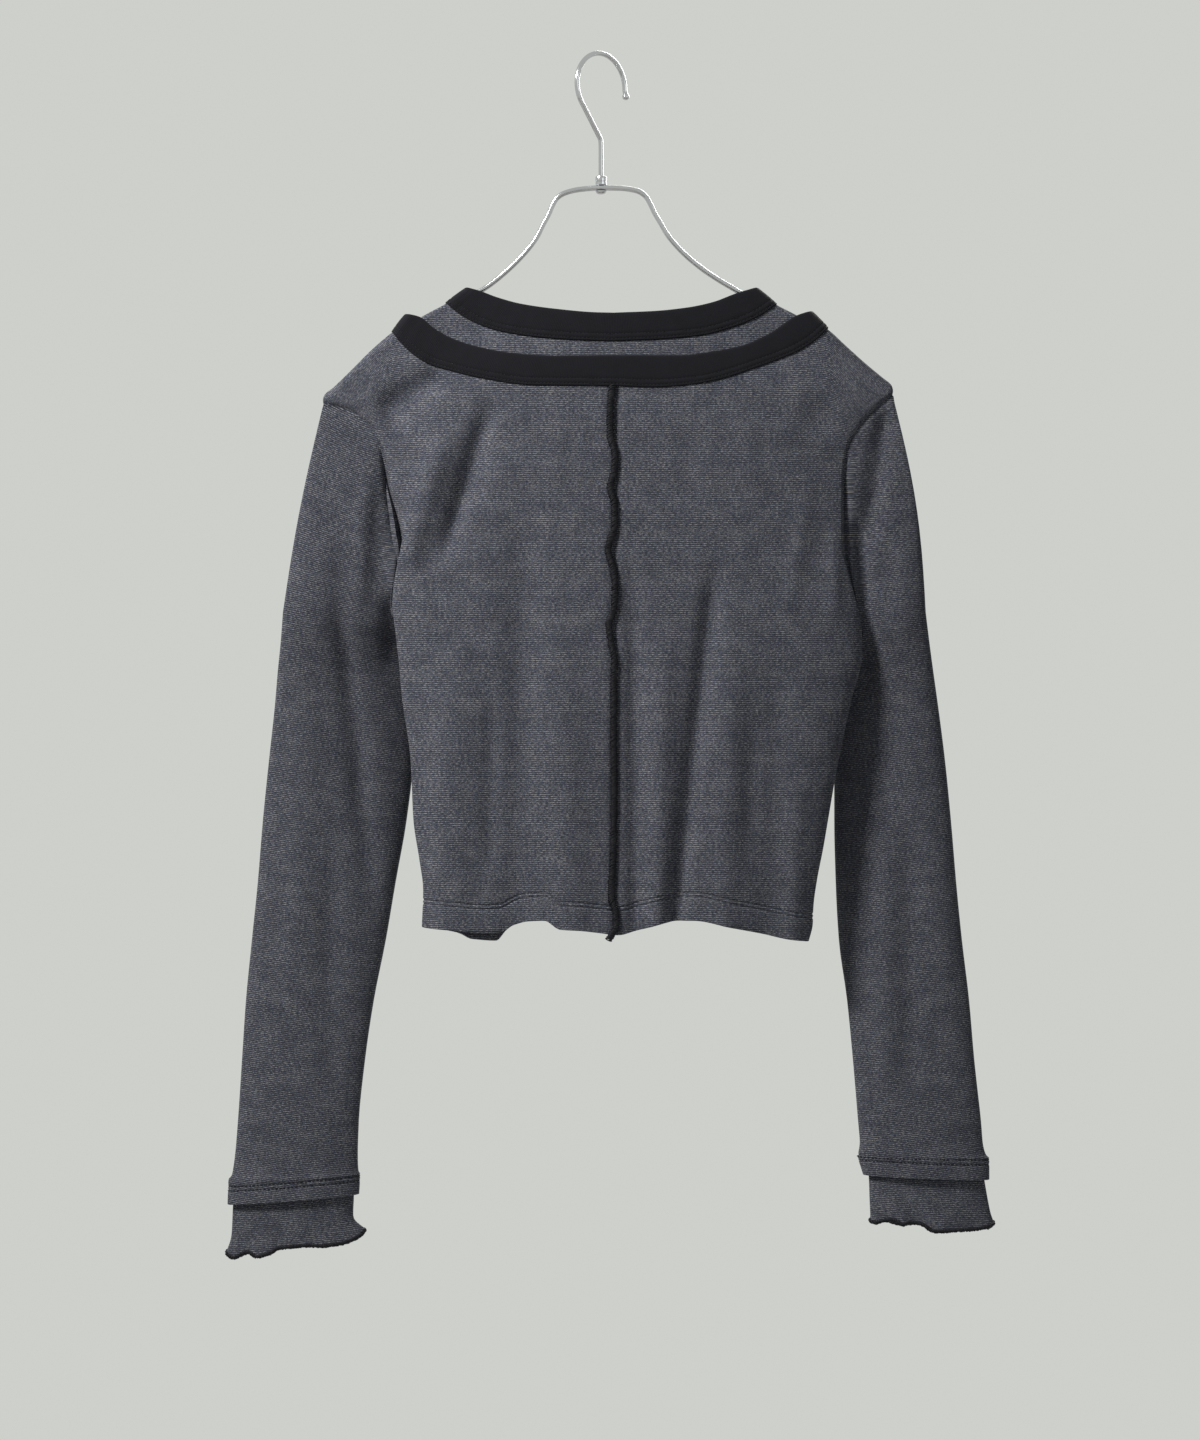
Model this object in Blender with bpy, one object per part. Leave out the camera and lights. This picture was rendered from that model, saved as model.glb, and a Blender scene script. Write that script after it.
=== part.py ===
"""A cropped, layered-look knitted cardigan hung by its shoulders on a chrome wire hanger.

Metres, +Z up. The origin is the inside top of the hanger's hook, where it rests on whatever holds it.
The garment's back faces -Y and its buttoned front faces +Y, so the wearer's left is at -X.
Every cloth piece is worked out in millimetres as a grid of points on its outer face, and is then given
its wall on the inside.
"""

import math

import bpy
import numpy as np

# ---------------------------------------------------------------- driving sizes, in millimetres
TO_METRES = 0.001
JERSEY_WALL = 1.4  # fine knitted jersey, a little thicker than real so that the wall stays sound
YOKE_WALL = 1.2
HEM_WALL = 2.4  # jersey turned up on itself and stitched
SEAM_GAP = 0.3
ARMHOLE_GAP = 0.5
UNDERARM_GAP = 0.6
CENTRE_X = 9  # the centre back seam and the centre front hang a little to the wearer's right of the hook
LAP = 8  # each front passes the centre by this much
LAP_FADE = 0.2  # the share of the neckline over which its points move across for that
LAP_LIFT = 2.9  # how far the upper front stands off the lower one where they lap
LAYER_DROP = 3.2  # the inner layer's face lies this far beneath the outer layer's face
YOKE_SET_BACK = 2.0  # and its hidden lower edge this much further in

CREST_HALF = 9.0  # half the depth of the shoulder's ridge over the two wires
CREST_DROP = 7.0  # how far down that ridge its round top reaches
HANG_HALF = {-1: 22.0, 1: 24.0}  # half the body's depth at the back and at the front
HANG_SPREAD = 22.0  # how much the cloth may open below the ridge
HANG_REACH = 160.0  # and over what drop
SIDE_ROUND = 2.6  # superellipse power of the body's section below the underarm
CHEST_ROUND = 3  # and how its flatter section above the underarm falls away
ARMHOLE_HALF = 9.0  # half the depth of the armhole
ARMHOLE_OPENS = 60.0  # the height over which it opens above the underarm

BINDING_THICK = 2.2
BINDING_PROUD = 0.8
BINDING_BEVEL = 0.8
BINDING_UPRIGHT = 0.88
BINDING_GAP = 0.6

TRIM_WIDTH = 4.8
TRIM_THICK = 2.2
TRIM_GAP = 0.45

CUFF_WAVES = 13
CUFF_WAVE_POINTS = 4
CUFF_WAVE_OUT = 2.2
CUFF_WAVE_DOWN = 1.0
CUFF_EDGE_RADIUS = 1.3
CUFF_EDGE_GAP = 0.9

BUTTON_COUNT = 5
BUTTON_RADIUS = 5.75
BUTTON_THICK = 2.4
BUTTON_FIRST_Z = -288
BUTTON_LAST_Z = -610

WIRE_RADIUS = 1.6
WIRE_SPREAD = 2.4  # half the distance between the hanger's two wires
ARCH_TOP_Z = -95
HOOK_RADIUS = 1.75
HOOK_BEND = 23.5  # radius of the hook's round part, at the middle of its wire
HOOK_TURN = math.radians(43)  # the hook is swivelled across the frame
COLLAR_RADIUS = 4.0
COLLAR_TALL = 6.5
COLLAR_FLOOR = 1.5  # the hook's shank stands on this, inside the collar
RIVET_RADIUS = 3.1
AXIS = 0.01  # the radius that closes a turned profile at its middle


def table(columns, *rows):
    """A short table with named columns, one row for each section, fold or point."""
    return {name: np.array([row[i] for row in rows], float) for i, name in enumerate(columns.split())}


# The ridge of the shoulders, seen from the back. Between the two necklines it is only the line that the
# cloth would follow if it went on up to the hanger.
CREST = table(
    "x z",
    (-201, -250), (-199, -244), (-193, -239), (-180, -226.5), (-165, -211.5), (-150.3, -199),
    (-128.9, -184.5), (-111.5, -175.1), (-92, -163), (-58.5, -147), (-29.5, -137), (0, -132),
    (31.5, -135.5), (64, -144.5), (103.5, -162.5), (126.2, -175.9), (140.8, -183.4), (163, -196.6),
    (175.5, -207.9), (190, -221), (203, -231.8), (209, -236.9), (211, -243.5),
)
# Side seams, from the hem up to the underarm.
SIDE_SEAM = {
    -1: table(
        "z x",
        (-627, -129.5), (-600, -128.5), (-580, -131), (-550, -135.5), (-507, -137.5), (-463.5, -143.5),
        (-427.5, -147), (-400.5, -152.5),
    ),
    1: table(
        "z x",
        (-637.5, 150), (-625, 153), (-612, 153.5), (-593.5, 156), (-570, 160.6), (-550, 164),
        (-507, 171.5), (-463.5, 181), (-435, 188), (-414.5, 188.5),
    ),
}
# Armhole seams, from the underarm up to the shoulder point.
ARMHOLE = {
    -1: table(
        "x z",
        (-152.5, -400.5), (-152, -384.5), (-149, -366.5), (-146, -348.5), (-148.5, -330.5),
        (-152.5, -312.5), (-155, -294.5), (-158.5, -278), (-169, -264), (-183.5, -254.5), (-201, -250),
    ),
    1: table(
        "x z",
        (188.5, -414.5), (183.5, -391.5), (178, -373.5), (174, -356.5), (173.5, -334),
        (173.5, -308), (175.5, -288), (180, -276), (187, -265.5), (200, -252), (211, -243.5),
    ),
}
# Hem lines: the back's hangs in shallow waves, the front's dips on the wearer's left.
HEM = {
    -1: table(
        "x z",
        (-129.5, -627), (-124.5, -627.6), (-105, -629), (-84, -630.8), (-72.5, -630), (-62, -624.8),
        (-52.5, -622.3), (-40.5, -621.7), (-29.5, -628), (-15, -628.8), (-0.5, -630.5), (12, -632),
        (28, -628), (46, -623.5), (56, -621.7), (66, -621.7), (93, -626.8), (114.5, -631),
        (134, -635.5), (150, -637.5),
    ),
    1: table(
        "x z",
        (-129.5, -627), (-104, -632), (-94, -637), (-76, -638.3), (-68, -630), (-58, -624), (-40, -620),
        (-10, -625), (20, -626), (50, -620), (75, -619), (105, -626), (130, -634), (150, -637.5),
    ),
}
# Where each binding is sewn to its layer (foot) and its free edge (top), from the centre outwards.
OUTER_NECK = {
    (-1, -1): (
        table(
            "x z",
            (9, -239), (-47.5, -238.5), (-84, -233.5), (-106.5, -228), (-126, -221.3), (-139, -212),
            (-150.3, -199),
        ),
        table(
            "x z",
            (9, -217), (-33, -217.3), (-62.5, -215.3), (-84, -211.5), (-105, -205), (-119.5, -197),
            (-130, -188.6), (-140, -186),
        ),
    ),
    (1, -1): (
        table(
            "x z",
            (9, -239), (38, -240), (68.5, -237.5), (85.5, -234), (116.5, -223.5), (139, -214.5),
            (153, -206), (163, -196.6),
        ),
        table("x z", (9, -217), (56, -217), (80, -214), (100, -210), (122, -200), (140, -187.8), (151, -184)),
    ),
    (-1, 1): (
        table(
            "x z",
            (9, -274.5), (-20, -272), (-60, -263), (-95, -249), (-118, -233), (-134.5, -217),
            (-150.3, -199),
        ),
        table(
            "x z",
            (9, -252.5), (-18, -250), (-54, -241), (-86, -228), (-106, -213), (-121, -199.5),
            (-131, -189.5), (-140, -186),
        ),
    ),
    (1, 1): (
        table(
            "x z",
            (9, -274.5), (40, -271.5), (80, -261), (118, -243), (140, -226), (154, -210), (163, -196.6),
        ),
        table(
            "x z",
            (9, -252.5), (38, -249.5), (74, -239), (106, -222), (127, -206), (142, -189.5), (151, -184),
        ),
    ),
}
INNER_NECK = {
    (-1, -1): (
        table(
            "x z",
            (9, -206.5), (-9.5, -206), (-40.5, -204), (-70, -199.5), (-84, -195.3), (-99.5, -187.6),
            (-111.5, -178.3),
        ),
        table(
            "x z",
            (9, -186), (-3.5, -185.7), (-33, -183), (-57.5, -179.2), (-75, -174.2), (-86, -170),
            (-96, -167),
        ),
    ),
    (1, -1): (
        table("x z", (9, -206.5), (43, -205), (72.5, -202), (95, -195.8), (114, -187.6), (126.2, -179.1)),
        table("x z", (9, -186), (38, -184.7), (62, -182), (80, -178), (97, -171.5), (111.5, -167)),
    ),
    (-1, 1): (
        table("x z", (9, -240), (-20, -237), (-55, -226), (-85, -208), (-102, -192), (-111.5, -178.3)),
        table("x z", (9, -220), (-18, -217.5), (-48, -208), (-73, -191), (-87, -175.5), (-96, -167)),
    ),
    (1, 1): (
        table("x z", (9, -240), (38, -237), (72, -226), (102, -208), (118, -192), (126.2, -179.1)),
        table("x z", (9, -220), (36, -217.5), (66, -208), (90, -192), (103, -176), (111.5, -167)),
    ),
}
# The panels' columns: how far along the hem each one starts, and where it ends, from 0 to 1 along the
# neckline and from 1 to 2 along the shoulder.
COLUMNS = {
    -1: table(
        "hem top",
        (0, 0), (0.075, 0.12), (0.15, 0.24), (0.225, 0.36), (0.3, 0.48), (0.37, 0.6), (0.44, 0.72),
        (0.51, 0.83), (0.57, 0.91), (0.62, 0.965), (0.66, 0.988), (0.69, 0.997), (0.72, 1),
        (0.78, 1.3), (0.86, 1.62), (0.93, 1.85), (0.98, 1.96), (1, 2),
    ),
    1: table(
        "hem top",
        (0, 0), (0.07, 0.1), (0.14, 0.2), (0.26, 0.4), (0.38, 0.6), (0.48, 0.78), (0.56, 0.91),
        (0.62, 0.965), (0.66, 0.988), (0.69, 0.997), (0.72, 1), (0.78, 1.3), (0.88, 1.68), (0.97, 1.94),
        (1, 2),
    ),
}
SEAM_ROWS = (0, 0.063, 0.073, 0.18, 0.3, 0.42, 0.54, 0.66, 0.78, 0.89)  # from the hem up to the underarm
HEM_ROWS = 2  # the lowest rows are the turned-up hem
ARMHOLE_ROWS = (0, 0.11, 0.23, 0.36, 0.49, 0.62, 0.74, 0.85, 0.93, 0.975, 0.992, 1)  # and on to the shoulder
EDGE_PULL = 3  # power by which the side's and the armhole's curves fade towards the centre
UNDERARM_AT = 0.6  # the share of the panel's height that lies below the underarm

# The inner yoke's columns (0 to 1 along its neckline, 1 to 2 along its shoulder), and its rows, from its
# low edge up.
YOKE_COLUMNS = np.array([0, 0.14, 0.28, 0.42, 0.56, 0.7, 0.82, 0.91, 0.965, 0.99, 1, 1.35, 1.7, 2])
YOKE_ROWS = np.array([0, 0.3, 0.6, 0.82, 0.94, 0.98, 1])
YOKE_SHOULDER = 40
YOKE_LOW_Z = {-1: -256, 1: -288}
YOKE_LOW_RISE = 18

# Folds that hang in the cloth. A positive height stands out and a negative one is a trough; the ends
# fade over the lengths given, and 0 runs out through the hem.
FOLDS = {
    -1: table(
        "x_top z_top x_low z_low height width fade_top fade_low",
        (-88, -246, -127, -365, -6.0, 8, 30, 35),
        (-108, -262, -146, -382, 6.0, 11, 30, 35),
        (-124, -238, -160, -276, -3.0, 14, 20, 20),
        (-54, -283, -60, -640, -4.0, 13, 120, 0),
        (-104, -391, -108, -640, 3.5, 14, 100, 0),
        (-33, -391, -18, -640, 3.0, 13, 110, 0),
        (22, -340, 28, -640, -2.5, 7, 60, 0),
        (46, -391, 40, -640, 3.5, 9, 90, 0),
        (77, -350, 58, -640, -5.0, 7, 60, 0),
        (95, -391, 87, -640, 3.0, 11, 100, 0),
        (128, -400, 121, -640, -2.5, 12, 90, 0),
        (146, -242, 166, -280, -2.5, 14, 20, 20),
    ),
    1: table(
        "x_top z_top x_low z_low height width fade_top fade_low",
        (-92, -262, -130, -372, -4.5, 10, 30, 35),
        (-66, -300, -84, -645, 4.0, 13, 110, 0),
        (-38, -380, -46, -645, -3.0, 11, 90, 0),
        (-112, -420, -110, -645, -3.0, 12, 90, 0),
        (62, -330, 52, -645, -3.5, 12, 110, 0),
        (88, -300, 82, -645, 4.0, 13, 110, 0),
        (118, -380, 112, -645, -3.0, 12, 90, 0),
        (100, -262, 148, -372, -4.0, 10, 30, 35),
    ),
}
# Sleeve sections from just below the underarm to the hem: the outer and the inner edge, and half the depth.
SLEEVE = {
    -1: table(
        "z_out x_out y_out z_in x_in y_in half wall",
        (-400.5, -229.2, 2, -411, -151.5, 12, 11, 1.4),
        (-420.5, -231, 6, -424, -147.8, 19, 12, 1.4),
        (-442, -233.5, 10, -441, -140.5, 25, 12.5, 1.4),
        (-467.5, -236, 14, -466, -135, 29, 13, 1.4),
        (-507, -240.6, 18, -507, -136.5, 31, 13.5, 1.4),
        (-550.5, -245.2, 20, -551, -141.5, 31, 13.5, 1.4),
        (-594.5, -248.8, 20, -595, -149.2, 29, 13.5, 1.4),
        (-637.5, -253.2, 20, -638, -156.4, 27, 13, 1.4),
        (-681, -257.4, 19, -681, -164.9, 25, 12.5, 1.4),
        (-724.5, -260.2, 18, -725, -171.3, 23, 12, 1.4),
        (-768, -263, 17, -768, -175.6, 21, 12, 1.4),
        (-795.5, -265.4, 17, -793, -176.4, 21, 12, 1.4),
        (-808, -267.6, 17, -805, -175.9, 21, 12.5, 1.4),
        (-811, -269.8, 17, -808, -174.6, 21, 13.3, 2.4),
        (-829, -270.6, 17, -822, -175.4, 21, 13.3, 2.4),
    ),
    1: table(
        "z_out x_out y_out z_in x_in y_in half wall",
        (-400.5, 234, 2, -427, 188, 12, 11, 1.4),
        (-420.5, 236.8, 6, -437, 183, 19, 12, 1.4),
        (-442, 240, 10, -451, 177.5, 26, 13, 1.4),
        (-467.5, 244, 15, -472.5, 172, 31, 14, 1.4),
        (-507, 249.4, 19, -507, 170, 33, 15, 1.4),
        (-550.5, 253.9, 21, -551, 170, 33, 15, 1.4),
        (-594.5, 257.6, 21, -595, 170.9, 31, 14.5, 1.4),
        (-637.5, 261.8, 20, -638, 173.1, 29, 13.5, 1.4),
        (-681, 266.9, 19, -681, 178.8, 26, 12.5, 1.4),
        (-724.5, 270.6, 18, -725, 183, 24, 12, 1.4),
        (-768, 275.3, 17, -768, 186.5, 22, 12, 1.4),
        (-785.5, 276.8, 17, -784, 187.8, 21.5, 12, 1.4),
        (-793, 279, 17, -791.5, 186.8, 21, 12.3, 1.4),
        (-796, 281.4, 17, -794.5, 186.2, 21, 13.1, 2.4),
        (-811, 281.4, 17, -808, 190.2, 20.5, 13.1, 2.4),
    ),
}
SLEEVE_FAN = (0.12, 0.28, 0.45, 0.62, 0.8)  # rings between the armhole and the first section
SLEEVE_CAP_BULGE = {-1: 2.2, 1: 5.0}
SLEEVE_PIT_LEAD = 0.5
SLEEVE_PIT_BULGE = 1.5
SLEEVE_WIDE = 40
SLEEVE_DEEP = 11
SLEEVE_FOLDS = {
    (-1, -1): table(
        "x_top z_top x_low z_low height width fade_top fade_low",
        (-193, -350, -163, -625, -4.0, 7, 60, 60),
        (-195, -562, -196, -775, -2.5, 8, 60, 60),
        (-212, -420, -222, -700, 2.0, 12, 80, 80),
    ),
    (-1, 1): table(
        "x_top z_top x_low z_low height width fade_top fade_low",
        (-190, -380, -195, -640, -3.5, 9, 60, 60),
        (-215, -520, -225, -760, -2.5, 8, 60, 60),
    ),
    (1, -1): table(
        "x_top z_top x_low z_low height width fade_top fade_low",
        (205, -252, 188, -372, -5.0, 6, 15, 50),
        (222, -520, 226, -765, -2.5, 9, 70, 60),
        (205, -560, 206, -770, 2.0, 9, 70, 60),
    ),
    (1, 1): table(
        "x_top z_top x_low z_low height width fade_top fade_low",
        (205, -380, 212, -640, -3.5, 9, 60, 60),
        (235, -520, 243, -760, -2.5, 8, 60, 60),
    ),
}
# Under-cuff sections, from inside the sleeve's hem down to the curly edge; wave is its share of the waves.
CUFF = {
    -1: table(
        "z_out x_out y_out z_in x_in y_in half wave",
        (-799, -262, 17.5, -794, -181, 20.5, 8.6, 0),
        (-829, -266.6, 17.5, -822, -179.2, 20.5, 9.4, 0),
        (-851, -267.6, 17.5, -838, -180, 20.5, 10.2, 0.25),
        (-864.8, -270.6, 17.5, -849.5, -174, 20.5, 11.0, 1),
    ),
    1: table(
        "z_out x_out y_out z_in x_in y_in half wave",
        (-781, 273, 17.5, -780, 192.5, 20.5, 8.6, 0),
        (-811, 277.8, 17.5, -808, 194.2, 20.5, 9.4, 0),
        (-833, 281.6, 17.5, -831, 195.2, 20.5, 10.2, 0.25),
        (-845, 284, 17.5, -842, 196.5, 20.5, 11.0, 1),
    ),
}
# The raised trim down the centre back: it curls from side to side above and runs straight below.
TRIM = table(
    "z x",
    (-635, 5.5), (-631.5, 7.8), (-625.5, 10.8), (-616.5, 10.5), (-605, 7.5), (-595.5, 7.5), (-577.5, 8.5),
    (-550, 9), (-520, 9.2), (-490, 8.8), (-463.5, 9), (-450.5, 9), (-436.5, 9.5), (-422.5, 7),
    (-409.5, 5.5), (-399.5, 9), (-383, 10), (-368.5, 8), (-356.5, 5), (-339, 9.5), (-324, 9.5),
    (-312.5, 6.5), (-299.5, 9.5), (-289.5, 10), (-274.5, 6.5), (-255.5, 6.5), (-239.6, 8),
)
# The middle line of the hanger's frame, from the left shoulder over its arch to the right one.
FRAME = table(
    "x z",
    (-185, -238), (-181, -233.4), (-172, -225), (-158.5, -212.6), (-146.5, -204.1), (-137.3, -198),
    (-123.1, -189.8), (-108.3, -182), (-91.3, -171.6), (-82.9, -166.8), (-70.1, -156.9), (-56.8, -144.1),
    (-46.4, -131), (-41.3, -120.9), (-37.6, -114.1), (-34.9, -107.8), (-31.5, -102.2), (-25.8, -98.6),
    (-14.4, -96), (0, -95), (14.4, -95.3), (26, -97.1), (31.9, -100.8), (35.4, -106.5), (38.5, -113),
    (42.4, -119.6), (48.1, -129.2), (59.2, -141.8), (73.3, -153.6), (86.6, -162.4), (95.4, -167.6),
    (104, -172.9), (113.4, -178.4), (128.8, -186.3), (143.4, -193.3), (153, -199.5), (165.4, -208.6),
    (179.4, -219.2), (187.6, -225.8), (193, -231), (196, -234.6),
)

JERSEY_COLOUR = (0.075, 0.079, 0.093, 1)
BINDING_COLOUR = (0.012, 0.013, 0.018, 1)
STEEL_COLOUR = (0.62, 0.63, 0.64, 1)


# ---------------------------------------------------------------- reading tables
def smooth(at, keys, values):
    """Reads a column between its rows on a smooth line that never overshoots them."""
    order = np.argsort(keys)
    keys, values = np.asarray(keys, float)[order], np.asarray(values, float)[order]
    steps = np.diff(values) / np.diff(keys)
    product = steps[:-1] * steps[1:]
    total = np.where(product > 0, steps[:-1] + steps[1:], 1)
    inner = np.where(product > 0, 2 * product / total, 0)
    slopes = np.concatenate([steps[:1], inner, steps[-1:]])
    at = np.clip(at, keys[0], keys[-1])
    i = np.clip(np.searchsorted(keys, at) - 1, 0, len(steps) - 1)
    span = keys[i + 1] - keys[i]
    t = (at - keys[i]) / span
    start = (1 + 2 * t) * (1 - t) ** 2 * values[i] + t * (1 - t) ** 2 * span * slopes[i]
    end = t * t * (3 - 2 * t) * values[i + 1] + t * t * (t - 1) * span * slopes[i + 1]
    return start + end


def along(path, share):
    """Points (x, z) at these shares of the length of a table of points."""
    runs = np.hypot(np.diff(path["x"]), np.diff(path["z"]))
    marks = np.concatenate([[0], np.cumsum(runs)]) / runs.sum()
    return smooth(share, marks, path["x"]), smooth(share, marks, path["z"])


def ease(t):
    t = np.clip(t, 0, 1)
    return t * t * (3 - 2 * t)


def unit(vectors):
    return vectors / np.maximum(np.linalg.norm(vectors, axis=-1, keepdims=True), 1e-9)


# ---------------------------------------------------------------- the form of the hanging cloth
def crest_z(x):
    return smooth(x, CREST["x"], CREST["z"])


def edge_x(side, z):
    """The body's edge at a height: its side seam, then its armhole."""
    seam, hole = SIDE_SEAM[side], ARMHOLE[side]
    below = smooth(z, seam["z"], seam["x"])
    above = smooth(z, hole["z"], hole["x"])
    return np.where(z < hole["z"][0], below, above)


def half_depth(x, z, face, beneath=0.0):
    """Half the garment's depth at a point of its outline, for the face at -Y (-1) or +Y (1)."""
    side = np.where(x < CENTRE_X, -1, 1)
    edge = np.where(side < 0, edge_x(-1, z), edge_x(1, z))
    underarm = np.where(side < 0, ARMHOLE[-1]["z"][0], ARMHOLE[1]["z"][0])
    across = np.clip(np.abs(x - CENTRE_X) / np.abs(edge - CENTRE_X), 0, 1)
    opening = ease((z - underarm) / ARMHOLE_OPENS)
    at_edge = ARMHOLE_HALF * opening**0.6
    round_side = (1 - across**SIDE_ROUND) ** (1 / SIDE_ROUND)
    swell = (1 - opening) * round_side + opening * (1 - across**CHEST_ROUND)
    hanging = at_edge + (HANG_HALF[face] - at_edge) * swell - beneath
    drop = crest_z(x) - beneath - z
    top = 1 - np.clip(drop / (CREST_DROP - beneath), 0, 1)
    ridge = (CREST_HALF - beneath) * np.sqrt(1 - top * top) + HANG_SPREAD * ease(drop / HANG_REACH)
    hanging, ridge = np.maximum(hanging, 1e-6), np.maximum(ridge, 1e-6)
    return hanging * ridge / (hanging**4 + ridge**4) ** 0.25


def fold_height(x, z, folds):
    """The sum of the folds of a table at a point of the outline."""
    total = np.zeros(np.broadcast(x, z).shape)
    for x0, z0, x1, z1, height, width, fade_top, fade_low in zip(*folds.values()):
        length = math.hypot(x1 - x0, z1 - z0)
        ux, uz = (x1 - x0) / length, (z1 - z0) / length
        run = (x - x0) * ux + (z - z0) * uz
        off = (x - x0) * uz - (z - z0) * ux
        start = ease(run / fade_top)
        end = ease((length - run) / fade_low) if fade_low else 1
        total = total + height * np.exp(-((off / width) ** 2)) * start * end
    return total


def lap_lift(x, side, face):
    """The upper front rises over the lower one at the centre front."""
    if (side, face) != (1, 1):
        return 0
    return LAP_LIFT * ease((CENTRE_X + 40 - x) / 24)


def cloth_y(x, z, side, face, beneath=0.0):
    """The y of a layer's outer face."""
    half = half_depth(x, z, face, beneath)
    folds = fold_height(x, z, FOLDS[face]) * ease(half / 7)
    lift = lap_lift(x, side, face) if beneath == 0 else 0
    return face * np.maximum(half + folds + lift, SEAM_GAP / 2)


def crest_normal(x):
    """The direction straight out of the shoulder's ridge."""
    step = 1.0
    rise = crest_z(x + step) - crest_z(x - step)
    return unit(np.stack([-rise, np.zeros_like(rise), np.full_like(rise, 2 * step)], axis=-1))


def cloth_normal(x, z, side, face, beneath=0.0):
    """The direction straight out of a layer's face, used by both pieces that meet along a neckline."""
    step = 0.5
    here = cloth_y(x, z, side, face, beneath)
    right, left = cloth_y(x + step, z, side, face, beneath), cloth_y(x - step, z, side, face, beneath)
    across = (right - left) / (2 * step)
    up = (here - cloth_y(x, z - step, side, face, beneath)) / step
    return unit(face * np.stack([-across, np.ones_like(across), -up], axis=-1))


def neckline(path, share, off, side, beneath):
    """Points of a neckline moved off it within the cloth, towards the opening when off is positive."""
    x, z = along(path, share)
    after, before = along(path, np.clip(share + 0.01, 0, 1)), along(path, np.clip(share - 0.01, 0, 1))
    run_x, run_z = after[0] - before[0], after[1] - before[1]
    length = np.hypot(run_x, run_z)
    x, z = x - side * off * run_z / length, z + side * off * run_x / length
    x[share == 1] = path["x"][-1] - side * off
    return x, np.where(share == 1, crest_z(x) - beneath, z)


# ---------------------------------------------------------------- meshes
def grid_normals(grid, ring):
    """Unit normals of a grid of points, row by row; a ring's columns join up."""
    if ring:
        wide = np.concatenate([grid[:, -1:], grid, grid[:, :1]], axis=1)
        across = wide[:, 2:] - wide[:, :-2]
    else:
        across = np.gradient(grid, axis=1)
    return unit(np.cross(across, np.gradient(grid, axis=0)))


def add_object(name, points, triangles, material):
    """One closed mesh in metres, facing out."""
    points = np.asarray(points, float) * TO_METRES
    triangles = np.asarray(triangles)
    a, b, c = points[triangles[:, 0]], points[triangles[:, 1]], points[triangles[:, 2]]
    if np.einsum("ij,ij->i", a, np.cross(b, c)).sum() < 0:
        triangles = triangles[:, ::-1]
    mesh = bpy.data.meshes.new(name)
    mesh.from_pydata(points.tolist(), [], triangles.tolist())
    mesh.materials.append(material)
    mesh.shade_smooth()
    mesh.set_sharp_from_angle(angle=math.radians(50))
    thing = bpy.data.objects.new(name, mesh)
    bpy.context.scene.collection.objects.link(thing)
    return thing


def quad(a, b, c, d):
    return [(a, b, c), (a, c, d)]


def shell(name, outer, inner, material, ring=False):
    """A cloth wall between its outer and inner grids, closed round its edges."""
    rows, columns = outer.shape[:2]
    behind = rows * columns
    index = np.arange(behind).reshape(rows, columns)
    faces = []
    last = columns if ring else columns - 1
    for i in range(rows - 1):
        for j in range(last):
            k = (j + 1) % columns
            a, b, c, d = index[i, j], index[i, k], index[i + 1, k], index[i + 1, j]
            faces += quad(a, b, c, d)
            faces += [(p + behind, r + behind, q + behind) for p, q, r in quad(a, b, c, d)]
    for j in range(last):
        k = (j + 1) % columns
        low, low_next, high, high_next = index[0, j], index[0, k], index[-1, j], index[-1, k]
        faces += quad(low_next, low, low + behind, low_next + behind)
        faces += quad(high, high_next, high_next + behind, high + behind)
    if not ring:
        for i in range(rows - 1):
            left, left_up, right, right_up = index[i, 0], index[i + 1, 0], index[i, -1], index[i + 1, -1]
            faces += quad(left, left_up, left_up + behind, left + behind)
            faces += quad(right_up, right, right + behind, right_up + behind)
    points = np.concatenate([outer.reshape(-1, 3), inner.reshape(-1, 3)])
    return add_object(name, points, faces, material)


def strip(name, sections, material, ring=False):
    """A solid band or cord through equal closed sections, capped at its ends unless it is a ring."""
    count, sides = sections.shape[:2]
    index = np.arange(count * sides).reshape(count, sides)
    faces = []
    for i in range(count if ring else count - 1):
        m = (i + 1) % count
        for j in range(sides):
            k = (j + 1) % sides
            faces += quad(index[i, j], index[i, k], index[m, k], index[m, j])
    if not ring:
        for j in range(1, sides - 1):
            faces.append((index[0, 0], index[0, j + 1], index[0, j]))
            faces.append((index[-1, 0], index[-1, j], index[-1, j + 1]))
    return add_object(name, sections.reshape(-1, 3), faces, material)


def tube_sections(path, radius, sides, ring=False, up=(0, 1, 0)):
    """Round sections square to a path that nowhere runs along up."""
    if ring:
        wide = np.concatenate([path[-1:], path, path[:1]])
        tangent = unit(wide[2:] - wide[:-2])
    else:
        tangent = unit(np.gradient(path, axis=0))
    first = unit(np.cross(tangent, np.array(up, float)))
    second = np.cross(tangent, first)
    angles = np.arange(sides) * 2 * math.pi / sides
    radius = np.broadcast_to(radius, len(path))[:, None, None]
    cosines, sines = np.cos(angles)[None, :, None], np.sin(angles)[None, :, None]
    return path[:, None] + radius * (cosines * first[:, None] + sines * second[:, None])


def material(name, colour, roughness, metallic=0.0):
    made = bpy.data.materials.new(name)
    made.use_nodes = True
    shader = made.node_tree.nodes["Principled BSDF"]
    shader.inputs["Base Color"].default_value = colour
    shader.inputs["Roughness"].default_value = roughness
    shader.inputs["Metallic"].default_value = metallic
    return made


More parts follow.
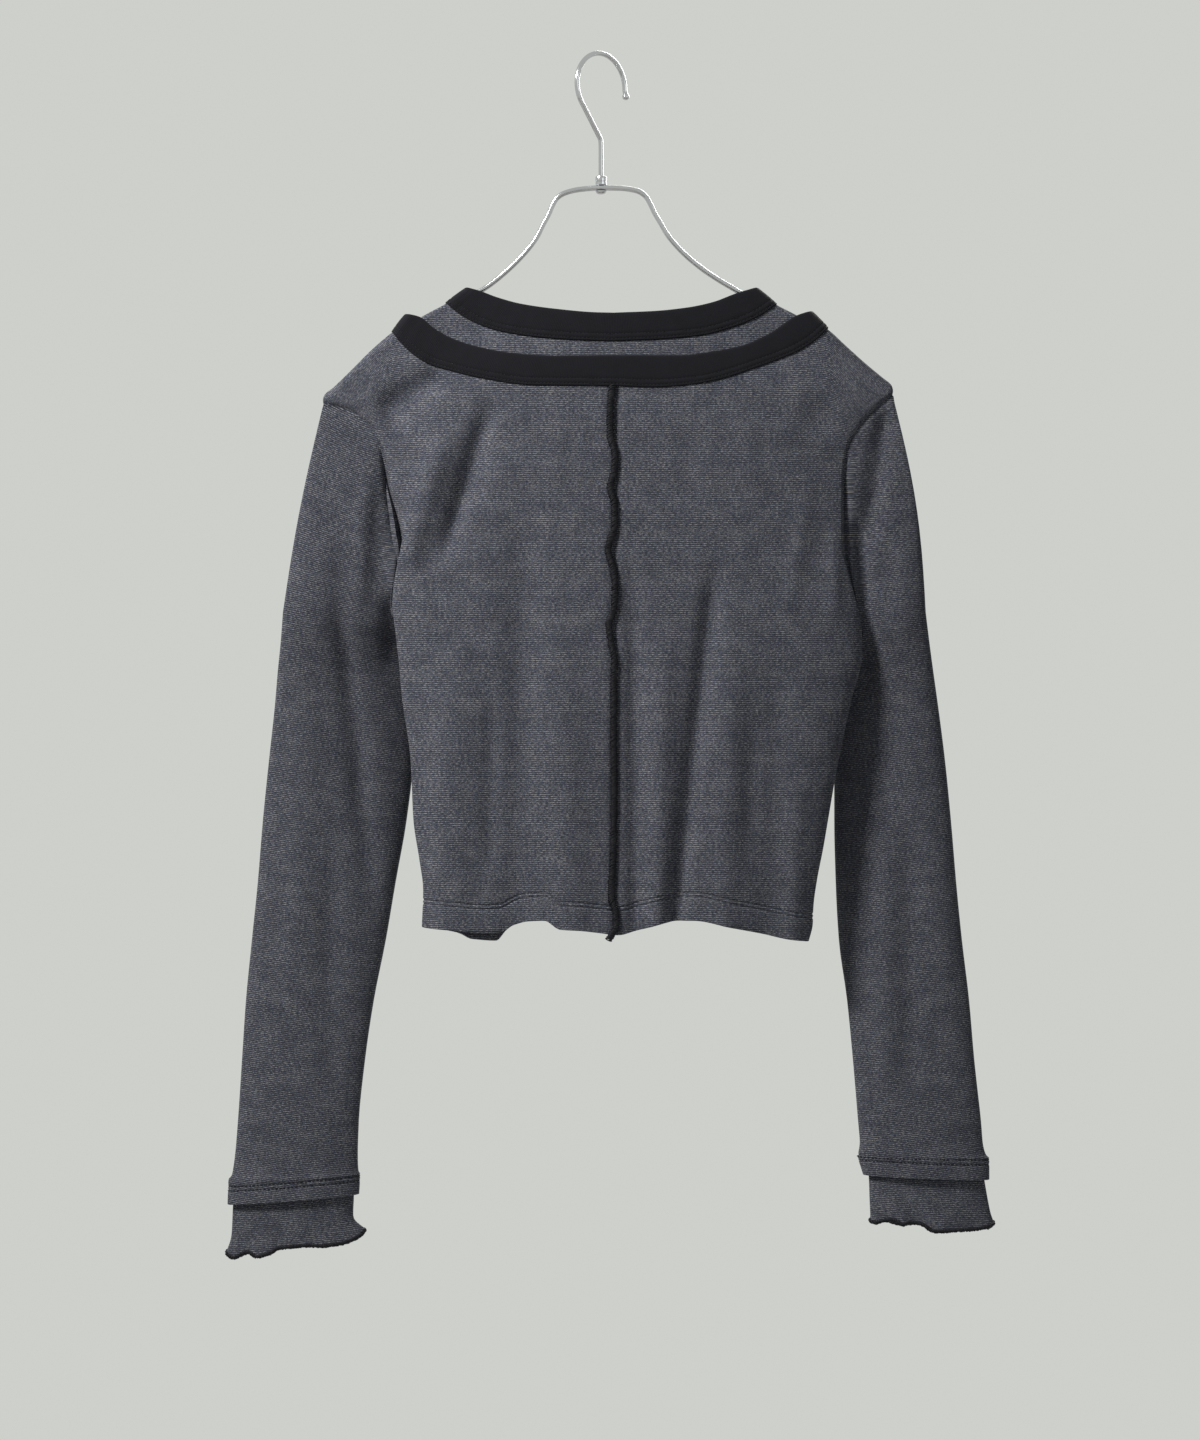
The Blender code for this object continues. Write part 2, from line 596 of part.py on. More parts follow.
# ---------------------------------------------------------------- body panels
def panel_outline(side, face):
    """The four edges of a quarter of the body, as (x, z) points: centre, edge, hem and top."""
    if face < 0:
        centre_x = CENTRE_X + side * SEAM_GAP / 2
    else:
        centre_x = CENTRE_X - side * LAP
    seam, hole, hem = SIDE_SEAM[side], ARMHOLE[side], HEM[face]
    columns = COLUMNS[face]
    hem_x = centre_x + columns["hem"] * (seam["x"][0] - centre_x)
    hem_z = smooth(hem_x, hem["x"], hem["z"])
    low_z = hem_z[-1] + np.array(SEAM_ROWS) * (hole["z"][0] - hem_z[-1])
    low_x = smooth(low_z, seam["z"], seam["x"])
    high_x, high_z = along(hole, np.array(ARMHOLE_ROWS))
    edge = np.stack([np.concatenate([low_x, high_x]), np.concatenate([low_z, high_z])], axis=-1)
    foot = OUTER_NECK[side, face][0]
    on_neck = columns["top"] <= 1
    neck_x, neck_z = neckline(foot, np.clip(columns["top"], 0, 1), -BINDING_GAP / 2, side, 0)
    neck_x = neck_x + (centre_x - neck_x[0]) * np.clip(1 - columns["top"] / LAP_FADE, 0, 1)
    corner_x, tip_x = neck_x[on_neck][-1], hole["x"][-1]
    shoulder_x = corner_x + np.clip(columns["top"] - 1, 0, 1) * (tip_x - corner_x)
    top_x = np.where(on_neck, neck_x, shoulder_x)
    top_z = np.where(on_neck, neck_z, crest_z(shoulder_x))
    top = np.stack([top_x, top_z], axis=-1)
    bottom = np.stack([hem_x, hem_z], axis=-1)
    rows = panel_rows()
    centre = np.stack([
        np.full(len(rows), centre_x),
        bottom[0, 1] + rows * (top[0, 1] - bottom[0, 1]),
    ], axis=-1)
    return centre, edge, bottom, top


def panel_rows():
    """The height of each row as a share of the panel's: to the underarm, then on to the shoulder."""
    low = np.array(SEAM_ROWS) * UNDERARM_AT
    high = UNDERARM_AT + np.array(ARMHOLE_ROWS) * (1 - UNDERARM_AT)
    return np.concatenate([low, high])


def edge_pull(top):
    """How far each column follows the curve of the side seam and the armhole: little near the centre."""
    return np.where(top < 1, top**EDGE_PULL, top) / 2


def panel_grid(side, face):
    """The outer face of a quarter of the body: rows from the hem up, columns from the centre out."""
    centre, edge, bottom, top = panel_outline(side, face)
    v = panel_rows()[:, None, None]
    f = edge_pull(COLUMNS[face]["top"])[None, :, None]
    flat = (
        (1 - f) * centre[:, None] + f * edge[:, None] + (1 - v) * bottom[None] + v * top[None]
        - (1 - f) * (1 - v) * bottom[0] - f * (1 - v) * bottom[-1]
        - (1 - f) * v * top[0] - f * v * top[-1]
    )
    x, z = flat[..., 0], flat[..., 1]
    return np.stack([x, cloth_y(x, z, side, face), z], axis=-1)


def panel_normals(grid, side, face):
    """Outward normals, with both pieces of a seam sharing the seam's own direction."""
    normals = grid_normals(grid, ring=False)
    normals = normals * np.sign(normals[..., 1:2].sum() * face)
    underarm = len(SEAM_ROWS)
    normals[: underarm + 1, -1] = (side, 0, 0)
    top_x, top_z = grid[-1, :, 0], grid[-1, :, 2]
    shoulder = COLUMNS[face]["top"] >= 1
    neck = cloth_normal(top_x, top_z, side, face)
    normals[-1] = np.where(shoulder[:, None], crest_normal(top_x), neck)
    if face < 0:
        normals[:, 0] = (0, -1, 0)
    return normals


def add_panel(name, side, face, cloth):
    grid = panel_grid(side, face)
    normals = panel_normals(grid, side, face)
    wall = np.full(grid[..., :1].shape, JERSEY_WALL)
    wall[:HEM_ROWS] = HEM_WALL
    shell(name, grid, grid - normals * wall, cloth)
    return grid, normals


# ---------------------------------------------------------------- sleeves and under-cuffs
def section_points(row, count, spread=0.85):
    """A flat round section from its outer edge, behind, to its inner edge and back in front."""
    angles = np.arange(count) * 2 * math.pi / count
    outer = np.array([row["x_out"], row["y_out"], row["z_out"]])
    inner = np.array([row["x_in"], row["y_in"], row["z_in"]])
    across = ((1 - np.cos(angles)) / 2)[:, None]
    points = outer + across * (inner - outer)
    points[:, 1] -= row["half"] * np.sign(np.sin(angles)) * np.abs(np.sin(angles)) ** spread
    return points


def table_row(source, i):
    return {name: column[i] for name, column in source.items()}


def armhole_ring(side, back, front):
    """The sleeve's first ring: round the armhole, one seam gap off the panels' edges."""
    first = len(SEAM_ROWS)
    ring, normals = [], []
    for (grid, grid_n), face in ((back, -1), (front, 1)):
        edge, before = grid[first:, -1], grid[first:, -2]
        away = edge + ARMHOLE_GAP * unit(edge - before)
        ring.append(away)
        normals.append(grid_n[first:, -1])
    shoulder = (ring[0][-1] + ring[1][-1]) / 2 + (side * SEAM_GAP, 0, 0)
    underarm = (ring[0][0] + ring[1][0]) / 2 + (side * SEAM_GAP, 0, 0)
    points = np.concatenate([[shoulder], ring[0][-2:0:-1], [underarm], ring[1][1:-1]])
    ends = [normals[0][-1]], [normals[0][0]]
    directions = np.concatenate([ends[0], normals[0][-2:0:-1], ends[1], normals[1][1:-1]])
    return points, unit(directions)


def sleeve_grid(side, back, front):
    first, seam_normals = armhole_ring(side, back, front)
    count = len(first)
    angles = np.arange(count) * 2 * math.pi / count
    outerness = ((1 + np.cos(angles)) / 2)[:, None] ** 2
    innerness = 1 - outerness**0.5
    first = first + innerness**2 * (side * UNDERARM_GAP, 0, 0)
    sections = SLEEVE[side]
    rings = [section_points(table_row(sections, i), count) for i in range(len(sections["half"]))]
    fan = []
    for share in SLEEVE_FAN:
        # Near the underarm the cloth runs outwards before it falls.
        shares = np.repeat(np.full((count, 1), share), 3, axis=1)
        shares[:, :1] += innerness * (share**SLEEVE_PIT_LEAD - share)
        bulge = side * (SLEEVE_CAP_BULGE[side] * outerness + SLEEVE_PIT_BULGE * innerness)
        bulge = bulge * (math.sin(math.pi * share), 0, 0)
        fan.append(first + shares * (rings[0] - first) + bulge)
    grid = np.array([first] + fan + rings)
    wall = np.array([JERSEY_WALL] * (1 + len(fan)) + list(sections["wall"]))
    # Folds fade out at the flattened edges, and at the armhole, where the panels' edges fix the ring.
    for face in (-1, 1):
        here = np.clip(-face * np.sin(angles), 0, 1) ** 0.5
        height = fold_height(grid[..., 0], grid[..., 2], SLEEVE_FOLDS[side, face])
        grid[1:, :, 1] += face * (height * here)[1:]
    normals = grid_normals(grid, ring=True)
    middle = grid.mean(axis=1, keepdims=True)
    normals = normals * np.sign(((grid - middle) * normals).sum())
    # Round the underarm the rings crowd together, so the wall there is laid off a plain flat section.
    section = np.stack([side * np.cos(angles) / SLEEVE_WIDE, -np.sin(angles) / SLEEVE_DEEP], axis=-1)
    section = np.concatenate([section, np.zeros((count, 1))], axis=1)
    for ring, share in enumerate((0,) + SLEEVE_FAN):
        weight = (1 - share) * ease((innerness - 0.6) / 0.35)
        normals[ring] = unit((1 - weight) * normals[ring] + weight * unit(section))
    from_shoulder = np.abs(np.cos(angles / 2))[:, None]
    shared = ease(2 * from_shoulder - 0.4)
    normals[0] = unit(shared * seam_normals + (1 - shared) * normals[0])
    return grid, normals, wall


def add_sleeve(name, side, back, front, cloth):
    grid, normals, wall = sleeve_grid(side, back, front)
    shell(name, grid, grid - normals * wall[:, None, None], cloth, ring=True)


def add_cuff(name, edge_name, side, cloth, edge_cloth):
    """The short inner sleeve end, and the wavy black edge that finishes it."""
    sections = CUFF[side]
    count = CUFF_WAVES * CUFF_WAVE_POINTS
    phase = np.arange(count) * 2 * math.pi / CUFF_WAVE_POINTS
    rings = []
    for i in range(len(sections["half"])):
        row = table_row(sections, i)
        ring = section_points(row, count)
        out = unit((ring - ring.mean(axis=0)) * (1, 4, 0))
        ring = ring + row["wave"] * CUFF_WAVE_OUT * np.sin(phase)[:, None] * out
        ring[:, 2] -= row["wave"] * CUFF_WAVE_DOWN * np.cos(phase)
        rings.append(ring)
    grid = np.array(rings)
    normals = grid_normals(grid, ring=True)
    middle = grid.mean(axis=1, keepdims=True)
    normals = normals * np.sign(((grid - middle) * normals).sum())
    shell(name, grid, grid - normals * JERSEY_WALL, cloth, ring=True)
    path = grid[-1] - normals[-1] * JERSEY_WALL / 2
    path = path - (0, 0, CUFF_EDGE_RADIUS + CUFF_EDGE_GAP)
    strip(edge_name, tube_sections(path, CUFF_EDGE_RADIUS, 6, ring=True, up=(0, 0, 1)), edge_cloth, ring=True)


# ---------------------------------------------------------------- neckline
def band_side(necks, side, face, shares, beneath, past):
    """A binding's foot and top on one quarter of the neck, from the centre out, and the foot's normals."""
    lines = []
    for path, off in zip(necks[side, face], (BINDING_GAP / 2, 0)):
        x, z = neckline(path, shares, off, side, beneath)
        x = x - side * past * np.clip(1 - shares / LAP_FADE, 0, 1)
        if off == 0:
            z[-1] = path["z"][-1]
        depth = np.abs(cloth_y(x, z, side, face, beneath))
        if lines:
            # Over the shoulder the band stands up from its foot.
            depth = np.maximum(depth, BINDING_UPRIGHT * np.abs(lines[0][:, 1]))
        depth[-1] = 0
        lines.append(np.stack([x, face * depth, z], axis=-1))
    foot = lines[0]
    normal = cloth_normal(foot[:, 0], foot[:, 2], side, face, beneath)
    normal[-1] = crest_normal(foot[-1:, 0])
    return foot, lines[1], normal


def add_binding(name, necks, columns, beneath, past, cloth):
    """A folded rib band all round a neckline, from one front edge over the back to the other."""
    quarters = ((-1, 1, 1), (-1, -1, -1), (1, -1, 1), (1, 1, -1))
    pieces = []
    for number, (side, face, order) in enumerate(quarters):
        shares = columns[face][columns[face] <= 1]
        lines = band_side(necks, side, face, shares, beneath, past if face > 0 else 0)
        pieces.append([line[::order][min(number, 1):] for line in lines])
    foot, top, foot_normal = (np.concatenate(lines) for lines in zip(*pieces))
    width_way = unit(top - foot)
    along_way = unit(np.gradient((foot + top) / 2, axis=0))
    normal = unit(np.cross(along_way, width_way))
    normal = normal * np.sign((normal * foot_normal).sum())
    proud, deep = BINDING_PROUD, BINDING_THICK - BINDING_PROUD
    middle = (proud - deep) / 2
    sections = np.stack([
        foot + foot_normal * middle,
        foot + width_way * BINDING_BEVEL + foot_normal * proud,
        top - width_way * BINDING_BEVEL + normal * proud,
        top + normal * middle,
        top - width_way * BINDING_BEVEL - normal * deep,
        foot + width_way * BINDING_BEVEL - foot_normal * deep,
    ], axis=1)
    strip(name, sections, cloth)


def yoke_grid(side, face, centre_x):
    """A quarter of the inner layer: from its neckline and shoulder down to a plain edge inside."""
    foot = INNER_NECK[side, face][0]
    on_neck = YOKE_COLUMNS <= 1
    x, z = neckline(foot, np.clip(YOKE_COLUMNS, 0, 1), -BINDING_GAP / 2, side, LAYER_DROP)
    x[0] = centre_x
    tip_x = x[on_neck][-1] + side * YOKE_SHOULDER * np.clip(YOKE_COLUMNS - 1, 0, 1)
    top_x = np.where(on_neck, x, tip_x)
    top_z = np.where(YOKE_COLUMNS < 1, z, crest_z(tip_x) - LAYER_DROP)
    rows = YOKE_ROWS[:, None]
    low_z = YOKE_LOW_Z[face] + YOKE_LOW_RISE * np.clip(YOKE_COLUMNS - 1, 0, 1)
    grid_z = low_z + rows * (top_z - low_z)
    grid_x = np.broadcast_to(top_x, grid_z.shape)
    y = cloth_y(grid_x, grid_z, side, face, LAYER_DROP) - face * YOKE_SET_BACK * (1 - rows)
    return np.stack([grid_x, y, grid_z], axis=-1)


def add_yoke(name, grids, face, cloth, shoulders):
    """Sews yoke quarters side by side into one piece and gives it its wall."""
    grid = np.concatenate(grids, axis=1)
    normals = grid_normals(grid, ring=False)
    normals = normals * np.sign(normals[..., 1:2].sum() * face)
    top_x, top_z = grid[-1, :, 0], grid[-1, :, 2]
    neck = cloth_normal(top_x, top_z, 0, face, LAYER_DROP)
    normals[-1] = np.where(shoulders[:, None], crest_normal(top_x), neck)
    shell(name, grid, grid - normals * YOKE_WALL, cloth)


def add_yokes(cloth):
    quarters = {}
    for side in (-1, 1):
        for face in (-1, 1):
            centre = CENTRE_X if face < 0 else CENTRE_X + side * SEAM_GAP / 2
            quarters[side, face] = yoke_grid(side, face, centre)
    shoulder = YOKE_COLUMNS >= 1
    back = [quarters[-1, -1][:, ::-1], quarters[1, -1][:, 1:]]
    add_yoke("yoke_back", back, -1, cloth, np.concatenate([shoulder[::-1], shoulder[1:]]))
    add_yoke("yoke_front_left", [quarters[-1, 1]], 1, cloth, shoulder)
    add_yoke("yoke_front_right", [quarters[1, 1]], 1, cloth, shoulder)


# ---------------------------------------------------------------- trim and buttons
def add_trim(cloth):
    """The raised, overlocked seam edge down the centre back, laid on the panels' faces."""
    z = TRIM["z"]
    x = TRIM["x"]
    hem = smooth(x, HEM[-1]["x"], HEM[-1]["z"])
    y = cloth_y(x, np.maximum(z, hem), -1, -1)
    path = np.stack([x, y - TRIM_GAP, z], axis=-1)
    run = unit(np.gradient(path, axis=0))
    out = np.array([0, -1.0, 0])
    across = unit(np.cross(run, out))
    half = TRIM_WIDTH / 2
    shape = ((-1, 0), (-0.85, 0.7), (0, 1), (0.85, 0.7), (1, 0))
    sections = np.stack([path + across * half * a + out * TRIM_THICK * b for a, b in shape], axis=1)
    strip("back_seam_trim", sections, cloth)


def add_buttons(cloth):
    """Plain round buttons on the upper front, each with a thin rim."""
    sides = 14
    angles = np.arange(sides) * 2 * math.pi / sides
    for number in range(BUTTON_COUNT):
        z = BUTTON_FIRST_Z + (BUTTON_LAST_Z - BUTTON_FIRST_Z) * number / (BUTTON_COUNT - 1)
        seat = float(cloth_y(np.array([CENTRE_X * 1.0]), np.array([z * 1.0]), 1, 1)[0]) + SEAM_GAP + 0.3
        profile = ((0.82, 0), (1, 0.4), (0.9, 1), (0.7, 0.78))
        rings = []
        for r, h in profile:
            ring = np.stack([
                CENTRE_X + BUTTON_RADIUS * r * np.cos(angles),
                np.full(sides, seat + BUTTON_THICK * h),
                z + BUTTON_RADIUS * r * np.sin(angles),
            ], axis=-1)
            rings.append(ring)
        strip(f"button_{number + 1}", np.array(rings), cloth)


# ---------------------------------------------------------------- hanger
def frame_turn(end, before, order):
    """The half turn that joins the two wires at a shoulder end."""
    onward = unit(end - before)
    angles = np.radians([30, 60, 90, 120, 150])
    across = np.array([0.0, order, 0.0])
    return np.array([end + WIRE_SPREAD * (math.sin(a) * onward + math.cos(a) * across) for a in angles])


def add_frame(steel):
    middle = np.stack([FRAME["x"], np.zeros(len(FRAME["x"])), FRAME["z"]], axis=-1)
    front, back = middle + (0, WIRE_SPREAD, 0), middle[::-1] - (0, WIRE_SPREAD, 0)
    right_turn = frame_turn(middle[-1], middle[-2], 1)
    left_turn = frame_turn(middle[0], middle[1], -1)
    path = np.concatenate([front, right_turn, back, left_turn])
    tangent = unit(np.roll(path, -1, axis=0) - np.roll(path, 1, axis=0))
    # The sections are carried along the loop, so that they don't twist where it turns.
    normal = [unit(np.cross(tangent[0], (0, 1, 0)))]
    for t in tangent[1:]:
        normal.append(unit(normal[-1] - np.dot(normal[-1], t) * t))
    normal = np.array(normal)
    second = np.cross(tangent, normal)
    sides = 6
    angles = np.arange(sides) * 2 * math.pi / sides
    spokes = [math.cos(a) * normal + math.sin(a) * second for a in angles]
    sections = path[:, None] + WIRE_RADIUS * np.stack(spokes, axis=1)
    strip("hanger_frame", sections, steel, ring=True)


def add_collar(steel):
    """The turned collar that the hook swivels in, its stud between the wires and the rivet head below."""
    top = ARCH_TOP_Z + WIRE_RADIUS + SEAM_GAP
    low = ARCH_TOP_Z - WIRE_RADIUS - SEAM_GAP
    bore = HOOK_RADIUS + SEAM_GAP
    stud = WIRE_SPREAD - WIRE_RADIUS - SEAM_GAP
    floor, mouth = top + COLLAR_FLOOR, top + COLLAR_TALL
    profile = (
        (AXIS, floor), (bore, floor), (bore, mouth), (COLLAR_RADIUS, mouth), (COLLAR_RADIUS, top),
        (stud, top), (stud, low), (COLLAR_RADIUS, low), (RIVET_RADIUS, low - 2), (AXIS, low - 2.8),
    )
    sides = 14
    angles = np.arange(sides) * 2 * math.pi / sides
    rings = [
        np.stack([r * np.cos(angles), r * np.sin(angles), np.full(sides, z)], axis=-1)
        for r, z in profile
    ]
    strip("hanger_collar", np.array(rings), steel)


def hook_path():
    """The hook in its own plane: shank, slant, round bend and short end."""
    centre = HOOK_RADIUS - HOOK_BEND
    shank_top = -60.5
    shank_low = ARCH_TOP_Z + WIRE_RADIUS + SEAM_GAP + COLLAR_FLOOR + SEAM_GAP
    leave = math.radians(222)  # where the slant meets the round bend
    arrive = 0
    points = [(0, shank_low), (0, -75), (0, shank_top - 4), (-0.5, shank_top), (-2.6, shank_top + 3.2)]
    for angle in np.linspace(leave, arrive, 22):
        points.append((HOOK_BEND * math.cos(angle), centre + HOOK_BEND * math.sin(angle)))
    points.append((HOOK_BEND + 0.4, centre - 2))
    return points


def add_hook(steel):
    flat = hook_path()
    path = np.array([(h * math.cos(HOOK_TURN), h * math.sin(HOOK_TURN), z) for h, z in flat])
    side_way = (-math.sin(HOOK_TURN), math.cos(HOOK_TURN), 0)
    onward = unit(path[-1] - path[-2])
    ball = [(0.6, 0.7), (1.6, 1.35), (2.9, 1.5), (4.2, 1.1), (4.8, 0.4)]
    path = np.concatenate([path, [path[-1] + onward * step for step, _ in ball]])
    radius = np.concatenate([np.full(len(flat), HOOK_RADIUS), [HOOK_RADIUS * size for _, size in ball]])
    strip("hanger_hook", tube_sections(path, radius, 8, up=side_way), steel)


def main():
    for thing in list(bpy.data.objects):
        bpy.data.objects.remove(thing, do_unlink=True)
    jersey = material("striped jersey", JERSEY_COLOUR, 0.9)
    rib = material("black rib", BINDING_COLOUR, 0.85)
    steel = material("chromed steel", STEEL_COLOUR, 0.18, 1.0)
    button = material("dark buttons", BINDING_COLOUR, 0.35)
    names = {-1: "left", 1: "right"}
    for side in (-1, 1):
        back = add_panel(f"back_{names[side]}", side, -1, jersey)
        front = add_panel(f"front_{names[side]}", side, 1, jersey)
        add_sleeve(f"sleeve_{names[side]}", side, back, front, jersey)
        add_cuff(f"cuff_{names[side]}", f"cuff_edge_{names[side]}", side, jersey, rib)
    outer_columns = {face: COLUMNS[face]["top"] for face in (-1, 1)}
    inner_columns = {face: YOKE_COLUMNS for face in (-1, 1)}
    add_binding("neck_binding_outer", OUTER_NECK, outer_columns, 0.0, LAP, rib)
    add_binding("neck_binding_inner", INNER_NECK, inner_columns, LAYER_DROP, -SEAM_GAP / 2, rib)
    add_yokes(jersey)
    add_trim(rib)
    add_buttons(button)
    add_frame(steel)
    add_collar(steel)
    add_hook(steel)


main()
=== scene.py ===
# %% [markdown]
# # A cropped jersey cardigan on a wire hanger
# The garment is seen from the back. It is sewn from fine jersey with narrow melange stripes, and it is made to
# look like two layers: two black rib necklines, one above the other, and a short under-cuff with a curly black
# edge below each sleeve hem. A wavering black trim runs down the centre back.
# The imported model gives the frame: metres, +Z up, the origin at the inside top of the hook, the back at -Y.

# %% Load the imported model
import math

import bmesh
import bpy
import numpy as np
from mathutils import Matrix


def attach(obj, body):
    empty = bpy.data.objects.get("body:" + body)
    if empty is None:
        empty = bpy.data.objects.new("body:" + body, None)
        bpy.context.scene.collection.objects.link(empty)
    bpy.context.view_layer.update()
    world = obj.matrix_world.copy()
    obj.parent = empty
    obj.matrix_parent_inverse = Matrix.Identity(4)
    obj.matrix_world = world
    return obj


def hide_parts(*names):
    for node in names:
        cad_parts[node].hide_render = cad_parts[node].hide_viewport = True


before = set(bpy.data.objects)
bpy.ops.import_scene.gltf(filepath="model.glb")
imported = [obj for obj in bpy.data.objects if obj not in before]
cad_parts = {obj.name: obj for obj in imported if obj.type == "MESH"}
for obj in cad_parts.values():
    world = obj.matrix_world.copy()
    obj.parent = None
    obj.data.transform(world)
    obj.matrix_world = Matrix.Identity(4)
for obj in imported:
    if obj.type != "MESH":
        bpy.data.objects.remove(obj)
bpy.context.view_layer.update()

# %% [markdown]
# ## Camera and light
# The photograph is level and taken from far away, so the camera stands 2.7 m off at the middle of the picture's
# height, with a long lens. A small lamp high on the left gives the folds their shade, a much weaker one on the
# right softens it, and one on the far side lights the front, which the photograph doesn't show. The pale
# surroundings do the rest.

# %% Camera
MM = 0.001
CAMERA_AWAY = 2.7
PICTURE_TALL = 1440 * 0.72 * MM  # what the picture's height takes in at the garment
PICTURE_MIDDLE_X, PICTURE_MIDDLE_Z = -0.0007, -0.4781
SENSOR = 36


def add_object(name, data):
    made = bpy.data.objects.new(name, data)
    bpy.context.scene.collection.objects.link(made)
    return made


camera_data = bpy.data.cameras.new("camera")
camera_data.sensor_width = SENSOR
camera_data.lens = SENSOR * CAMERA_AWAY / PICTURE_TALL
camera_data.clip_end = 50
camera = add_object("camera", camera_data)
camera.location = (PICTURE_MIDDLE_X, -CAMERA_AWAY, PICTURE_MIDDLE_Z)
camera.rotation_euler = (math.radians(90), 0, 0)
bpy.context.scene.camera = camera
print("lens", round(camera_data.lens, 1), "mm")

# %% Lamps and surroundings
MIDDLE = (0, 0, -0.45)  # every lamp faces this point
LAMPS = (  # name, place, size in metres, watts and colour
    ("key lamp", (-1.15, -0.9, 0.9), 0.45, 53, (1, 0.985, 0.96)),
    ("right lamp", (2.0, -2.2, 0.5), 1.2, 6, (0.96, 0.98, 1)),
    ("front lamp", (0.8, 2.4, 0.9), 1.4, 60, (1, 0.99, 0.97)),
)
SURROUNDINGS = 0.13  # how strongly they light the cloth
SURROUNDINGS_COLOUR = (0.615, 0.628, 0.598, 1)


def add_lamp(name, place, size, watts, colour):
    """A square soft lamp."""
    lamp_data = bpy.data.lights.new(name, "AREA")
    lamp_data.size = size
    lamp_data.energy = watts
    lamp_data.color = colour
    lamp = add_object(name, lamp_data)
    lamp.location = place
    away = lamp.location - type(lamp.location)(MIDDLE)
    lamp.rotation_euler = away.to_track_quat("Z", "Y").to_euler()


for lamp in LAMPS:
    add_lamp(*lamp)

world = bpy.data.worlds.new("pale surroundings")
bpy.context.scene.world = world
world.use_nodes = True
sky = world.node_tree.nodes["Background"]
sky.inputs["Color"].default_value = SURROUNDINGS_COLOUR
# What the eye and the chrome see is brighter than what lights the cloth, so that the folds keep their shade.
rays = world.node_tree.nodes.new("ShaderNodeLightPath")
level = world.node_tree.nodes.new("ShaderNodeMapRange")
level.inputs["To Min"].default_value = SURROUNDINGS
seen = world.node_tree.nodes.new("ShaderNodeMath")
seen.operation = "MAXIMUM"
world.node_tree.links.new(rays.outputs["Is Camera Ray"], seen.inputs[0])
world.node_tree.links.new(rays.outputs["Is Glossy Ray"], seen.inputs[1])
world.node_tree.links.new(seen.outputs[0], level.inputs["Value"])
world.node_tree.links.new(level.outputs["Result"], sky.inputs["Strength"])
bpy.context.scene.view_settings.view_transform = "Standard"

# %% [markdown]
# ## Writing shaders as sums
# Materials are node trees. To keep them readable, one small class wraps an output socket so that ordinary
# sums on it add the Math nodes. Every other node comes from one method, which sets the node's own options
# before its sockets.

# %% Shader helper
def new_node(tree, kind, settings=None, **inputs):
    """Adds a node, sets its options, then its sockets by name or, as _0 and _1, by number."""
    made = tree.nodes.new(kind)
    for key, value in (settings or {}).items():
        if key == "stops":
            ramp = made.color_ramp
            while len(ramp.elements) < len(value):
                ramp.elements.new(0.5)
            for element, (place, colour) in zip(ramp.elements, value):
                element.position, element.color = place, (*colour, 1)
        else:
            setattr(made, key, value)
    for key, value in inputs.items():
        socket = made.inputs[int(key[1:])] if key[1:].isdigit() else made.inputs[key.replace("_", " ")]
        if isinstance(value, Wire):
            value = value.socket
        if isinstance(value, bpy.types.NodeSocket):
            tree.links.new(value, socket)
        else:
            socket.default_value = value
    return made


class Wire:
    """An output socket of a node tree; sums on it add Math nodes."""

    def __init__(self, tree, socket):
        self.tree = tree
        self.socket = socket

    def node(self, kind, settings=None, **inputs):
        """Adds a node and gives back wires from its outputs."""
        made = new_node(self.tree, kind, settings, **inputs)
        return [Wire(self.tree, out) for out in made.outputs if out.enabled]

    def sum(self, operation, *others):
        values = {f"_{i}": value for i, value in enumerate((self, *others))}
        return self.node("ShaderNodeMath", {"operation": operation}, **values)[0]

    def __add__(self, other):
        return self.sum("ADD", other)

    def __sub__(self, other):
        return self.sum("SUBTRACT", other)

    def __mul__(self, other):
        return self.sum("MULTIPLY", other)

    def waves(self, pitch):
        """Even waves from 0 to 1, one to each pitch along this value."""
        return (self * (2 * math.pi / pitch)).sum("SINE") * 0.5 + 0.5

    def clamp(self):
        return self.node("ShaderNodeClamp", None, Value=self)[0]

    def noise(self, scale, detail=2.0, roughness=0.5):
        """Noise from 0 to 1 that reads this vector."""
        return self.node("ShaderNodeTexNoise", None, Vector=self, Scale=scale, Detail=detail, Roughness=roughness)[0]

    def times(self, other):
        """This vector or colour with its parts multiplied by another's."""
        return self.node("ShaderNodeVectorMath", {"operation": "MULTIPLY"}, _0=self, _1=other)[0]

    def stretch(self, x, y, z=1.0):
        """This vector with its axes multiplied."""
        return self.times((x, y, z))

    def parts(self):
        return self.node("ShaderNodeSeparateXYZ", None, _0=self)

    def mix(self, first, second):
        """A colour from first to second as this value goes from 0 to 1."""
        made = new_node(
            self.tree, "ShaderNodeMix", {"data_type": "RGBA"}, _0=self, _6=(*first, 1), _7=(*second, 1)
        )
        return Wire(self.tree, made.outputs[2])


def start_finish(name, source, **constants):
    """A new material: its shader, and a wire with the coordinates that its pattern reads."""
    made = bpy.data.materials.new(name)
    made.use_nodes = True
    tree = made.node_tree
    shader = tree.nodes["Principled BSDF"]
    for key, value in constants.items():
        shader.inputs[key.replace("_", " ")].default_value = value
    coordinates = tree.nodes.new("ShaderNodeTexCoord")
    return made, shader, Wire(tree, coordinates.outputs[source])


def feed(shader, socket, wire):
    wire.tree.links.new(wire.socket, shader.inputs[socket])


def add_bump(shader, height, distance, strength=1.0):
    """Feeds a height in metres-sized steps to the shader's normal."""
    out = height.node("ShaderNodeBump", None, Strength=strength, Distance=distance, Height=height)[0]
    feed(shader, "Normal", out)

